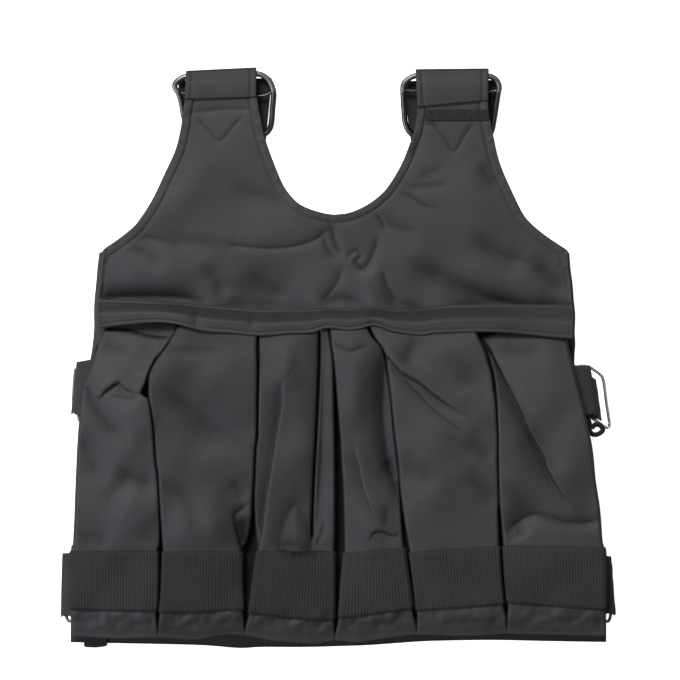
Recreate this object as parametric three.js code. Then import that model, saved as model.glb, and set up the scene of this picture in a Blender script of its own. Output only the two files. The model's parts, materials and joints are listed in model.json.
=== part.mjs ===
import * as THREE from "three";

// An adjustable weighted vest with empty pockets, lying on its back. All lengths are millimetres.
// X runs across the vest, Y from the hem to the shoulders and Z up from the floor.
// In the tables, x is a share of half the panel's width and up a share of the named height.

// Driving sizes of the panels
const PANEL_WIDTH = 412;
const PANEL_HEIGHT = 412;
const PANEL_THICKNESS = 2;
const BACK_THICKNESS = 2;
const BACK_MARGIN = 3;
const BACK_HEM_DROP = 4.5;
const BACK_SHOULDER_GAP = 34;
const HEM_SAG = 4;
const HEM_SAG_REACH = 12;
const SHOULDER_LIFT = 4;
const SHOULDER_LIFT_FROM = 0.88;

// Driving sizes of the pockets, their elastic and the flap
const POCKET_COUNT = 6;
const POCKET_HEIGHT = 235;
const POCKET_DEPTH = 18;
const POCKET_THICKNESS = 1.5;
const POCKET_GAP = 3.4;
const POCKET_HEM = 1.5;
const BAND_THICKNESS = 1.1;
const FLAP_THICKNESS = 1.8;
const FLAP_WAVE = 0.7;

// Driving sizes of the shoulder straps and their rings
const STRAP_WIDTH = 54;
const STRAP_THICKNESS = 1.5;
const STRAP_END_OVER = 2;
const STRAP_REAR_OVERLAP = 12;
const STRAP_RISE = 8;
const SHOULDER_RING_WIDTH = 76;
const SHOULDER_RING_TAPER = 5.5;
const SHOULDER_RING_HEIGHT = 46;
const SHOULDER_RING_CORNER = 11;
const SHOULDER_RING_WIRE = 4;
const SHOULDER_RING_OVER = 22.2;
const SHOULDER_RING_SLOPE = 5.5;
const MIDDLE_BAR_WIRE = 2.4;
const MIDDLE_BAR_DROP = 16;
const LOOP_WIDTH = 64;
const LOOP_THICKNESS = 1.2;

// Driving sizes of the side straps and their rings
const WEB_THICKNESS = 1.2;
const UPPER_WEB_WIDTH = 38.5;
const LOWER_WEB_WIDTH = 47.5;
const SIDE_RING_WIRE = 3.5;
const SIDE_RING_WIDTH = 21;
const SIDE_RING_CORNER = 3;
const SIDE_RING_PLAY = 3;
const WEB_OVERLAP = 24;
const KEEPER_SHARE = 0.9;

// The bevel of a wire's section, as a share of its thickness, makes it eight-sided
const WIRE_BEVEL = 0.28;

// How many columns and rows of faces the large cloths have
const PANEL_COLUMNS = 20;
const FLAP_COLUMNS = 26;
const FLAP_ROWS = 3;

// The hook tape; from and to are shares across the panel, foot and head shares of PANEL_HEIGHT
const HOOK_TAPE = { from: 0.57, to: 0.985, foot: 0.968, head: 0.984, thickness: 0.8 };

// The small tab under the hem; y is its lower edge
const HEM_TAB = { x: -0.908, width: 18, y: -8, height: 13, thickness: 1 };

// Clearance between pieces that touch on the real vest
const CLEAR = 0.35;

// The height of the corner under each arm, where the straight side ends and the armhole begins
const ARM_CORNER = 0.724;

// The outer edges of the front panel, up its sides and its armholes
const SIDE_EDGES = [
  { up: 0, left: -0.996, right: 0.997 },
  { up: 0.07, left: -1.0, right: 0.997 },
  { up: 0.165, left: -0.992, right: 0.995 },
  { up: 0.26, left: -0.984, right: 0.973 },
  { up: 0.35, left: -0.976, right: 0.949 },
  { up: 0.44, left: -0.963, right: 0.911 },
  { up: 0.5, left: -0.938, right: 0.885 },
  { up: 0.54, left: -0.91, right: 0.876 },
  { up: 0.6, left: -0.904, right: 0.876 },
  { up: 0.66, left: -0.898, right: 0.874 },
  { up: ARM_CORNER, left: -0.882, right: 0.86 },
  { up: 0.742, left: -0.83, right: 0.806 },
  { up: 0.76, left: -0.786, right: 0.754 },
  { up: 0.784, left: -0.742, right: 0.7 },
  { up: 0.818, left: -0.699, right: 0.662 },
  { up: 0.865, left: -0.654, right: 0.619 },
  { up: 0.913, left: -0.61, right: 0.592 },
  { up: 0.956, left: -0.59, right: 0.573 },
  { up: 1.012, left: -0.58, right: 0.562 },
];

// The edges of the neck scoop, from its lowest point up to the shoulders
const NECK_EDGES = [
  { up: 0.79, left: -0.02, right: -0.02 },
  { up: 0.796, left: -0.058, right: 0.04 },
  { up: 0.803, left: -0.096, right: 0.078 },
  { up: 0.817, left: -0.158, right: 0.13 },
  { up: 0.841, left: -0.2, right: 0.183 },
  { up: 0.882, left: -0.238, right: 0.234 },
  { up: 0.93, left: -0.272, right: 0.27 },
  { up: 0.965, left: -0.289, right: 0.287 },
  { up: 1.012, left: -0.306, right: 0.298 },
];

// Rows of faces between those of the two tables above, for the bib's dents
const BIB_ROWS = [0.63, 0.69];

// Broad dents of the bib, each along a straight stretch
const BIB_FOLDS = [
  { fromX: -0.41, fromUp: 0.846, toX: -0.18, toUp: 0.801, height: -2, reach: 11 },
  { fromX: -0.79, fromUp: 0.725, toX: -0.64, toUp: 0.69, height: -2.5, reach: 10 },
  { fromX: -0.87, fromUp: 0.64, toX: -0.5, toUp: 0.637, height: -3, reach: 9 },
  { fromX: -0.45, fromUp: 0.668, toX: -0.26, toUp: 0.654, height: -2.5, reach: 10 },
  { fromX: -0.036, fromUp: 0.762, toX: -0.25, toUp: 0.728, height: -2, reach: 9 },
  { fromX: -0.25, fromUp: 0.728, toX: -0.37, toUp: 0.734, height: -1.5, reach: 9 },
  { fromX: -0.03, fromUp: 0.757, toX: 0.013, toUp: 0.706, height: -2.5, reach: 9 },
  { fromX: 0.01, fromUp: 0.678, toX: -0.03, toUp: 0.631, height: -2, reach: 9 },
  { fromX: 0.174, fromUp: 0.669, toX: 0.23, toUp: 0.624, height: -2.5, reach: 9 },
  { fromX: 0.537, fromUp: 0.732, toX: 0.725, toUp: 0.702, height: -3, reach: 10 },
  { fromX: 0.725, fromUp: 0.702, toX: 0.85, toUp: 0.641, height: -3, reach: 9 },
  { fromX: 0.369, fromUp: 0.685, toX: 0.639, toUp: 0.629, height: -3, reach: 9 },
  { fromX: 0.1, fromUp: 0.74, toX: 0.24, toUp: 0.7, height: 1.5, reach: 10 },
];

// The lines between neighbouring pockets, with the two outer sides; up is a share of POCKET_HEIGHT
const POCKET_SEAMS = [
  { up: 0, x: [-0.996, -0.673, -0.35, -0.013, 0.292, 0.631, 0.997] },
  { up: 0.12, x: [-1.0, -0.667, -0.346, -0.004, 0.284, 0.63, 0.997] },
  { up: 0.29, x: [-0.992, -0.656, -0.341, 0.003, 0.258, 0.621, 0.995] },
  { up: 0.45, x: [-0.984, -0.666, -0.322, 0.003, 0.244, 0.611, 0.973] },
  { up: 0.61, x: [-0.976, -0.685, -0.31, -0.001, 0.226, 0.604, 0.949] },
  { up: 0.77, x: [-0.963, -0.706, -0.3, -0.01, 0.205, 0.594, 0.911] },
  { up: 0.87, x: [-0.938, -0.704, -0.298, -0.015, 0.19, 0.582, 0.885] },
  { up: 0.95, x: [-0.905, -0.665, -0.298, -0.02, 0.168, 0.558, 0.872] },
  { up: 1, x: [-0.892, -0.632, -0.298, -0.03, 0.132, 0.532, 0.866] },
];

// The heights of a pocket's rows of faces, as shares of POCKET_HEIGHT, and the rows under its elastic
const POCKET_ROWS = [0, 0.03, 0.086, 0.18, 0.283, 0.35, 0.42, 0.5, 0.58, 0.66, 0.74, 0.82, 0.9, 0.96, 1];
const BAND_ROWS = { from: 2, to: 4 };

// How far the pockets stand off the panel along their height, as a share of POCKET_DEPTH
const POCKET_RISE = [
  { up: 0, rise: 0 },
  { up: 0.03, rise: 0.42 },
  { up: 0.086, rise: 0.62 },
  { up: 0.18, rise: 0.68 },
  { up: 0.283, rise: 0.72 },
  { up: 0.42, rise: 0.95 },
  { up: 0.58, rise: 1 },
  { up: 0.74, rise: 0.96 },
  { up: 0.9, rise: 0.8 },
  { up: 1, rise: 0.64 },
];

// One half of a pocket's cross-section, from its foot to the middle of its front
const POCKET_SECTION = [
  { wall: 0, crown: 0, rise: 0 },
  { wall: 0.22, crown: 0, rise: 0.5 },
  { wall: 0.62, crown: 0, rise: 0.86 },
  { wall: 1, crown: 0.05, rise: 0.97 },
  { wall: 1, crown: 0.18, rise: 1 },
  { wall: 1, crown: 0.34, rise: 0.99 },
  { wall: 1, crown: 0.5, rise: 1 },
];

// How wide each pocket's slanting side walls are at its hem and at its mouth, as shares of its width
const POCKET_WALLS = [
  { leftHem: 0.1, leftMouth: 0.12, rightHem: 0.1, rightMouth: 0.14 },
  { leftHem: 0.1, leftMouth: 0.12, rightHem: 0.2, rightMouth: 0.1 },
  { leftHem: 0.08, leftMouth: 0.3, rightHem: 0.2, rightMouth: 0.14 },
  { leftHem: 0.1, leftMouth: 0.12, rightHem: 0.1, rightMouth: 0.16 },
  { leftHem: 0.1, leftMouth: 0.14, rightHem: 0.1, rightMouth: 0.1 },
  { leftHem: 0.1, leftMouth: 0.1, rightHem: 0.1, rightMouth: 0.14 },
];

// The main folds of the pocket fronts; up is a share of POCKET_HEIGHT
const POCKET_FOLDS = [
  { pocket: 1, fromX: -0.9, fromUp: 0.789, toX: -0.747, toUp: 0.796, height: -3.5, reach: 9 },
  { pocket: 1, fromX: -0.94, fromUp: 0.822, toX: -0.792, toUp: 0.638, height: -2.5, reach: 9 },
  { pocket: 1, fromX: -0.781, fromUp: 0.516, toX: -0.687, toUp: 0.484, height: -3, reach: 9 },
  { pocket: 2, fromX: -0.654, fromUp: 0.934, toX: -0.41, toUp: 0.934, height: -2.5, reach: 9 },
  { pocket: 2, fromX: -0.624, fromUp: 0.783, toX: -0.369, toUp: 0.625, height: -4, reach: 11 },
  { pocket: 2, fromX: -0.403, fromUp: 0.395, toX: -0.365, toUp: 0.18, height: -3, reach: 8 },
  { pocket: 3, fromX: -0.051, fromUp: 0.39, toX: -0.08, toUp: 0.3, height: -3, reach: 9 },
  { pocket: 3, fromX: -0.159, fromUp: 0.31, toX: -0.092, toUp: 0.29, height: -2.5, reach: 9 },
  { pocket: 3, fromX: -0.2, fromUp: 0.88, toX: -0.14, toUp: 0.7, height: 2.5, reach: 12 },
  { pocket: 4, fromX: 0.15, fromUp: 0.944, toX: 0.155, toUp: 0.582, height: -3.5, reach: 9 },
  { pocket: 4, fromX: 0.069, fromUp: 0.615, toX: 0.144, toUp: 0.4, height: 2.5, reach: 9 },
  { pocket: 4, fromX: 0.114, fromUp: 0.345, toX: 0.223, toUp: 0.36, height: -3, reach: 9 },
  { pocket: 5, fromX: 0.16, fromUp: 0.96, toX: 0.238, toUp: 0.872, height: -3.5, reach: 9 },
  { pocket: 5, fromX: 0.238, fromUp: 0.872, toX: 0.455, toUp: 0.73, height: -5, reach: 10 },
  { pocket: 5, fromX: 0.3, fromUp: 0.72, toX: 0.48, toUp: 0.6, height: 2, reach: 14 },
  { pocket: 6, fromX: 0.58, fromUp: 0.95, toX: 0.657, toUp: 0.793, height: -4, reach: 9 },
  { pocket: 6, fromX: 0.657, fromUp: 0.793, toX: 0.781, toUp: 0.556, height: -5, reach: 10 },
  { pocket: 6, fromX: 0.781, fromUp: 0.556, toX: 0.863, toUp: 0.428, height: -4.5, reach: 10 },
  { pocket: 6, fromX: 0.672, fromUp: 0.375, toX: 0.976, toUp: 0.38, height: -3, reach: 9 },
];

// The flap's upper and lower edge; up is a share of POCKET_HEIGHT
const FLAP_EDGES = [
  { x: -0.901, top: 1.112, low: 1.015 },
  { x: -0.8, top: 1.108, low: 1.022 },
  { x: -0.695, top: 1.102, low: 1.034 },
  { x: -0.56, top: 1.097, low: 1.018 },
  { x: -0.4, top: 1.084, low: 0.998 },
  { x: -0.294, top: 1.078, low: 0.99 },
  { x: -0.103, top: 1.078, low: 1.0 },
  { x: 0.036, top: 1.082, low: 1.008 },
  { x: 0.152, top: 1.081, low: 1.021 },
  { x: 0.309, top: 1.082, low: 0.992 },
  { x: 0.436, top: 1.092, low: 1.0 },
  { x: 0.526, top: 1.092, low: 1.003 },
  { x: 0.717, top: 1.092, low: 0.993 },
  { x: 0.884, top: 1.092, low: 0.981 },
];

// Where the flap leaves the panel and where it is fully lifted, as shares of its height from its top
const FLAP_RISE = { from: 0.05, to: 0.85 };

// The shoulders: the middle of each strap and ring, and how far they lean
const SHOULDERS = [
  { side: "left", x: -0.437, lean: 2.5 },
  { side: "right", x: 0.426, lean: -0.5 },
];

// The side rings: x is the outermost reach of the ring or of the strap round it, as a share of half
// the panel's width, and up the middle of the strap, as a share of POCKET_HEIGHT
const SIDE_RINGS = [
  { name: "upper_left", side: -1, x: -0.995, up: 0.815, web: UPPER_WEB_WIDTH, turn: 5, around: "outer" },
  { name: "upper_right", side: 1, x: 1.012, up: 0.79, web: UPPER_WEB_WIDTH, turn: 8, around: "inner" },
  { name: "lower_left", side: -1, x: -1.038, up: 0.174, web: LOWER_WEB_WIDTH, turn: 0, around: "outer" },
  { name: "lower_right", side: 1, x: 1.03, up: 0.166, web: LOWER_WEB_WIDTH, turn: 4, around: "outer" },
];

// The upper right strap is pulled up over its ring's inner bar. out is a share of the room that its turn
// round the bar takes, and rise a share of the way from the back panel to the top of the front one.
const PULLED_STRAP = [
  { out: 2, rise: 0 },
  { out: 2.2, rise: 0.11 },
  { out: 1.6, rise: 0.22 },
  { out: 1.2, rise: 0.39 },
  { out: 1, rise: 0.75 },
  { out: 0.33, rise: 1 },
];

const HALF_WIDTH = PANEL_WIDTH / 2;
const RING_TOP = PANEL_HEIGHT + SHOULDER_RING_OVER;
const STRAP_END = PANEL_HEIGHT + STRAP_END_OVER;
const STRAP_REAR_END = PANEL_HEIGHT - STRAP_REAR_OVERLAP;

// Heights above the floor of everything that lies between the two panels
const SIDE_STRAP_Z = BACK_THICKNESS + CLEAR + WEB_THICKNESS / 2;
const KEEPER_LOW_Z = SIDE_STRAP_Z + WEB_THICKNESS + CLEAR;
const SIDE_TURN = SIDE_RING_WIRE / 2 + CLEAR + WEB_THICKNESS / 2;
const INNER_BAR_Z = KEEPER_LOW_Z + SIDE_TURN;
const KEEPER_HIGH_Z = INNER_BAR_Z + SIDE_TURN;
const PANEL_Z = KEEPER_HIGH_Z + WEB_THICKNESS / 2 + CLEAR + PANEL_THICKNESS / 2;
const PANEL_TOP = PANEL_Z + PANEL_THICKNESS / 2;
const OUTER_BAR_Z = SIDE_STRAP_Z + SIDE_TURN;

const CLOTH = { color: 0x434448, roughness: 0.72, metalness: 0 };
const ELASTIC = { color: 0x2e2f30, roughness: 0.9, metalness: 0 };
const WEBBING = { color: 0x3c3d3f, roughness: 0.8, metalness: 0 };
const DARK_WEBBING = { color: 0x18191a, roughness: 0.9, metalness: 0 };
const GUNMETAL = { color: 0x6d7072, roughness: 0.25, metalness: 1 };
const CHROME = { color: 0xd8dadc, roughness: 0.12, metalness: 1 };

const vest = new THREE.Group();

function addPiece(name, geometry, look) {
  const mesh = new THREE.Mesh(geometry, new THREE.MeshStandardMaterial(look));
  mesh.name = name;
  vest.add(mesh);
  return mesh;
}

// The value of a table's column at a place along it, running straight between its rows
function between(rows, key, at, pick) {
  const last = rows.length - 1;
  let row = 0;
  while (row < last - 1 && at > rows[row + 1][key]) row += 1;
  const here = rows[row];
  const next = rows[row + 1];
  const share = THREE.MathUtils.clamp((at - here[key]) / (next[key] - here[key]), 0, 1);
  return THREE.MathUtils.lerp(pick(here), pick(next), share);
}

function evenly(count, from = 0, to = 1) {
  return Array.from({ length: count + 1 }, (_, i) => from + ((to - from) * i) / count);
}

// The dents and ridges at a point, each fading with its distance from a straight stretch
function foldHeight(folds, heightUnit, x, y) {
  const at = new THREE.Vector3(x, y, 0);
  const nearest = new THREE.Vector3();
  return folds.reduce((sum, fold) => {
    const from = new THREE.Vector3(fold.fromX * HALF_WIDTH, fold.fromUp * heightUnit, 0);
    const to = new THREE.Vector3(fold.toX * HALF_WIDTH, fold.toUp * heightUnit, 0);
    new THREE.Line3(from, to).closestPointToPoint(at, true, nearest);
    return sum + fold.height * Math.exp(-((at.distanceTo(nearest) / fold.reach) ** 2));
  }, 0);
}

// The hem hangs a little lower in the middle than at the sides
function hemSag(x, y) {
  const across = x / HALF_WIDTH;
  return HEM_SAG * (1 - across * across) * Math.exp(-y / HEM_SAG_REACH);
}

// The shoulders rise a little where they cross the rings
function shoulderLift(up) {
  return SHOULDER_LIFT * THREE.MathUtils.smoothstep(up, SHOULDER_LIFT_FROM, 1);
}

// A closed sheet of cloth on a grid of columns us and rows vs. place(u, v, half) gives its middle, and
// lift moves both faces off it. A slit at one column, above one row, opens the grid in two halves.
function clothSheet({ us, vs, thickness, place, lift = 0, slit = { column: -1, row: Infinity } }) {
  const middle = [];
  const known = new Map();
  const corner = (i, j, half) => {
    const side = i === slit.column && j > slit.row ? half : 0;
    const key = `${i} ${j} ${side}`;
    if (!known.has(key)) {
      known.set(key, middle.length);
      middle.push(place(us[i], vs[j], half));
    }
    return known.get(key);
  };
  const quads = [];
  for (let j = 0; j + 1 < vs.length; j += 1) {
    for (let i = 0; i + 1 < us.length; i += 1) {
      const half = i < slit.column ? -1 : 1;
      const steps = [[0, 0], [1, 0], [1, 1], [0, 1]];
      quads.push(steps.map(([across, along]) => corner(i + across, j + along, half)));
    }
  }

  const sheet = new THREE.BufferGeometry().setFromPoints(middle);
  sheet.setIndex(quads.flatMap(([a, b, c, d]) => [a, b, c, a, c, d]));
  sheet.computeVertexNormals();
  const normals = sheet.getAttribute("normal");
  const count = middle.length;
  const face = (offset) =>
    middle.map((point, i) => {
      const normal = new THREE.Vector3().fromBufferAttribute(normals, i);
      return normal.multiplyScalar(offset).add(point);
    });

  const faces = [];
  const edges = new Map();
  for (const [a, b, c, d] of quads) {
    faces.push(a, b, c, a, c, d);
    faces.push(count + c, count + b, count + a, count + d, count + c, count + a);
    for (const [from, to] of [[a, b], [b, c], [c, d], [d, a]]) {
      if (edges.has(`${to} ${from}`)) edges.delete(`${to} ${from}`);
      else edges.set(`${from} ${to}`, [from, to]);
    }
  }
  for (const [from, to] of edges.values()) faces.push(count + from, count + to, to, count + from, to, from);

  const solid = new THREE.BufferGeometry();
  solid.setFromPoints([...face(lift + thickness / 2), ...face(lift - thickness / 2)]);
  solid.setIndex(faces);
  return solid;
}

// The middle of the front panel's cloth. half tells the left side of the neck from the right one.
function panelSurface(u, up, half) {
  const left = between(SIDE_EDGES, "up", up, (row) => row.left);
  const right = between(SIDE_EDGES, "up", up, (row) => row.right);
  const neckLeft = between(NECK_EDGES, "up", up, (row) => row.left);
  const neckRight = between(NECK_EDGES, "up", up, (row) => row.right);
  const share =
    half < 0
      ? THREE.MathUtils.lerp(left, neckLeft, u / 0.5)
      : THREE.MathUtils.lerp(neckRight, right, (u - 0.5) / 0.5);
  const x = share * HALF_WIDTH;
  const y = up * PANEL_HEIGHT;
  const z = PANEL_Z + shoulderLift(up) + foldHeight(BIB_FOLDS, PANEL_HEIGHT, x, y);
  return new THREE.Vector3(x, y - hemSag(x, y), z);
}

function makeFrontPanel() {
  const ups = [...[...SIDE_EDGES, ...NECK_EDGES].map((row) => row.up), ...BIB_ROWS];
  const vs = [...new Set(ups)].sort((a, b) => a - b);
  const us = evenly(PANEL_COLUMNS);
  const slit = { column: us.length >> 1, row: vs.indexOf(NECK_EDGES[0].up) };
  const sheet = clothSheet({ us, vs, thickness: PANEL_THICKNESS, place: panelSurface, slit });
  addPiece("front_panel", sheet, CLOTH);
}

// The back panel has the front's cut. It is a little wider below the arms and at the hem, a little
// narrower at the armholes and the neck, and it ends below the shoulder rings.
function makeBackPanel() {
  const top = (PANEL_HEIGHT - BACK_SHOULDER_GAP) / PANEL_HEIGHT;
  const outer = SIDE_EDGES.filter((row) => row.up < top).map((row) => row.up);
  const neck = NECK_EDGES.filter((row) => row.up < top).map((row) => row.up);
  const margin = (up) => (up > ARM_CORNER ? -BACK_MARGIN : BACK_MARGIN);
  const height = (up) => (up === 0 ? -BACK_HEM_DROP : up * PANEL_HEIGHT);
  const side = (up, key, sign) => [
    between(SIDE_EDGES, "up", up, (row) => row[key]) * HALF_WIDTH + sign * margin(up),
    height(up) - (up > ARM_CORNER ? BACK_MARGIN : 0),
  ];
  const scoop = (up, key, sign) => [
    between(NECK_EDGES, "up", up, (row) => row[key]) * HALF_WIDTH + sign * BACK_MARGIN,
    up * PANEL_HEIGHT - BACK_MARGIN,
  ];
  const points = [
    ...outer.map((up) => side(up, "right", 1)),
    side(top, "right", 1),
    scoop(top, "right", 1),
    ...neck.toReversed().map((up) => scoop(up, "right", 1)),
    ...neck.map((up) => scoop(up, "left", -1)),
    scoop(top, "left", -1),
    side(top, "left", -1),
    ...outer.toReversed().map((up) => side(up, "left", -1)),
  ];
  const shape = new THREE.Shape(points.map(([x, y]) => new THREE.Vector2(x, y)));
  const geometry = new THREE.ExtrudeGeometry(shape, { depth: BACK_THICKNESS, bevelEnabled: false });
  addPiece("back_panel", geometry, CLOTH);
}

function makeHemTab() {
  const geometry = new THREE.BoxGeometry(HEM_TAB.width, HEM_TAB.height, HEM_TAB.thickness, 2, 1, 1);
  const tab = addPiece("back_hem_tab", geometry, DARK_WEBBING);
  const z = BACK_THICKNESS + CLEAR + HEM_TAB.thickness / 2;
  tab.position.set(HEM_TAB.x * HALF_WIDTH, HEM_TAB.y + HEM_TAB.height / 2, z);
}

function seamX(index, up) {
  return between(POCKET_SEAMS, "up", up, (row) => row.x[index]) * HALF_WIDTH;
}

// The middle of one pocket's cloth: u runs round the cross-section from foot to foot, up from the hem
function pocketSurface(index) {
  const walls = POCKET_WALLS[index];
  const folds = POCKET_FOLDS.filter((fold) => fold.pocket === index + 1);
  return (u, up) => {
    const left = seamX(index, up) + POCKET_GAP / 2;
    const width = seamX(index + 1, up) - POCKET_GAP / 2 - left;
    const fromFoot = Math.min(u, 1 - u) * 2 * (POCKET_SECTION.length - 1);
    const rows = POCKET_SECTION.map((row, i) => ({ ...row, i }));
    const wall = between(rows, "i", fromFoot, (row) => row.wall);
    const crown = between(rows, "i", fromFoot, (row) => row.crown);
    const section = between(rows, "i", fromFoot, (row) => row.rise);
    const leftWall = THREE.MathUtils.lerp(walls.leftHem, walls.leftMouth, up);
    const rightWall = THREE.MathUtils.lerp(walls.rightHem, walls.rightMouth, up);
    const front = 1 - leftWall - rightWall;
    const across = u < 0.5 ? wall * leftWall + crown * front : 1 - wall * rightWall - crown * front;
    const x = left + across * width;
    const y = POCKET_HEM + up * (POCKET_HEIGHT - POCKET_HEM);
    const rise = between(POCKET_RISE, "up", up, (row) => row.rise);
    const dent = foldHeight(folds, POCKET_HEIGHT, x, y) * Math.min(rise, section);
    const foot = PANEL_TOP + CLEAR + POCKET_THICKNESS / 2;
    return new THREE.Vector3(x, y - hemSag(x, y), foot + rise * section * POCKET_DEPTH + dent);
  };
}

function makePocket(index) {
  const us = evenly(2 * (POCKET_SECTION.length - 1));
  const place = pocketSurface(index);
  addPiece(
    `pocket_${index + 1}`,
    clothSheet({ us, vs: POCKET_ROWS, thickness: POCKET_THICKNESS, place }),
    CLOTH,
  );
  const lift = POCKET_THICKNESS / 2 + CLEAR + BAND_THICKNESS / 2;
  addPiece(
    `elastic_band_${index + 1}`,
    clothSheet({
      us: us.slice(1, -1),
      vs: POCKET_ROWS.slice(BAND_ROWS.from, BAND_ROWS.to + 1),
      thickness: BAND_THICKNESS,
      place,
      lift,
    }),
    ELASTIC,
  );
}

// The flap: v runs from its free lower edge, over the pocket mouths, to the edge sewn to the panel
function flapSurface(u, v) {
  const share = THREE.MathUtils.lerp(FLAP_EDGES[0].x, FLAP_EDGES.at(-1).x, u);
  const low = between(FLAP_EDGES, "x", share, (row) => row.low) * POCKET_HEIGHT;
  const top = between(FLAP_EDGES, "x", share, (row) => row.top) * POCKET_HEIGHT;
  const mouth = POCKET_RISE.at(-1).rise * POCKET_DEPTH + POCKET_THICKNESS + CLEAR;
  const sewn = PANEL_TOP + CLEAR + FLAP_THICKNESS / 2;
  const wave = Math.cos(share * POCKET_COUNT * Math.PI) + 1;
  const free = THREE.MathUtils.smoothstep(1 - v, FLAP_RISE.from, FLAP_RISE.to);
  return new THREE.Vector3(
    share * HALF_WIDTH,
    THREE.MathUtils.lerp(low, top, v),
    sewn + free * (mouth + CLEAR + wave * FLAP_WAVE),
  );
}

function makeFlap() {
  const geometry = clothSheet({
    us: evenly(FLAP_COLUMNS),
    vs: evenly(FLAP_ROWS),
    thickness: FLAP_THICKNESS,
    place: flapSurface,
  });
  addPiece("pocket_flap", geometry, CLOTH);
}

// The middles of a strap's rows in its side view, turned round a bar from below to above it
function turnPoints(centre, radius, steps, fromDegrees, toDegrees) {
  return evenly(steps, fromDegrees, toDegrees).map((degrees) => {
    const angle = THREE.MathUtils.degToRad(degrees);
    return new THREE.Vector2(centre.x + radius * Math.cos(angle), centre.y + radius * Math.sin(angle));
  });
}

// A strap of one width that follows a path in its side view; toSpace puts a path point in space
function strap(path, width, thickness, toSpace) {
  return clothSheet({
    us: evenly(2, -width / 2, width / 2),
    vs: path.map((_, i) => i),
    thickness,
    place: (across, row) => toSpace(path[row], across),
  });
}

// A closed outline with round corners between two heights, for a ring or the gaps inside it
function roundOutline(outline, low, high) {
  const points = [
    new THREE.Vector2(-low.half, low.y),
    new THREE.Vector2(low.half, low.y),
    new THREE.Vector2(high.half, high.y),
    new THREE.Vector2(-high.half, high.y),
  ];
  points.forEach((point, i) => {
    const { corner } = i < 2 ? low : high;
    const towards = (other) => other.clone().sub(point).setLength(corner).add(point);
    const enter = towards(points.at(i - 1));
    const leave = towards(points[(i + 1) % points.length]);
    if (i === 0) outline.moveTo(enter.x, enter.y);
    else outline.lineTo(enter.x, enter.y);
    outline.quadraticCurveTo(point.x, point.y, leave.x, leave.y);
  });
  outline.closePath();
  return outline;
}

// A ring bent from wire, lying flat with its lower bar on the X axis. The sizes are taken through
// the middle of the wire, and bars lists the heights and widths of any bars between the two ends.
function wireRing({ lowHalf, highHalf, height, corner, wire, bars = [] }) {
  const bevel = wire * WIRE_BEVEL;
  const flat = wire / 2 - bevel;
  const halfAt = (y) => THREE.MathUtils.lerp(lowHalf, highHalf, y / height);
  const shape = roundOutline(
    new THREE.Shape(),
    { y: -flat, half: lowHalf + flat, corner: corner + flat },
    { y: height + flat, half: highHalf + flat, corner: corner + flat },
  );
  const stops = [
    { y: 0, wire, inner: corner - flat },
    ...bars.map((bar) => ({ ...bar, inner: bar.wire })),
    { y: height, wire, inner: corner - flat },
  ];
  stops.slice(1).forEach((stop, i) => {
    const foot = stops[i].y + stops[i].wire / 2 - bevel;
    const head = stop.y - stop.wire / 2 + bevel;
    const low = { y: foot, half: halfAt(foot) - flat, corner: stops[i].inner };
    const high = { y: head, half: halfAt(head) - flat, corner: stop.inner };
    shape.holes.push(roundOutline(new THREE.Path(), low, high));
  });
  const geometry = new THREE.ExtrudeGeometry(shape, {
    depth: 2 * flat,
    bevelThickness: bevel,
    bevelSize: bevel,
    bevelSegments: 1,
    curveSegments: 3,
  });
  return geometry.translate(0, 0, -flat);
}

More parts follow.
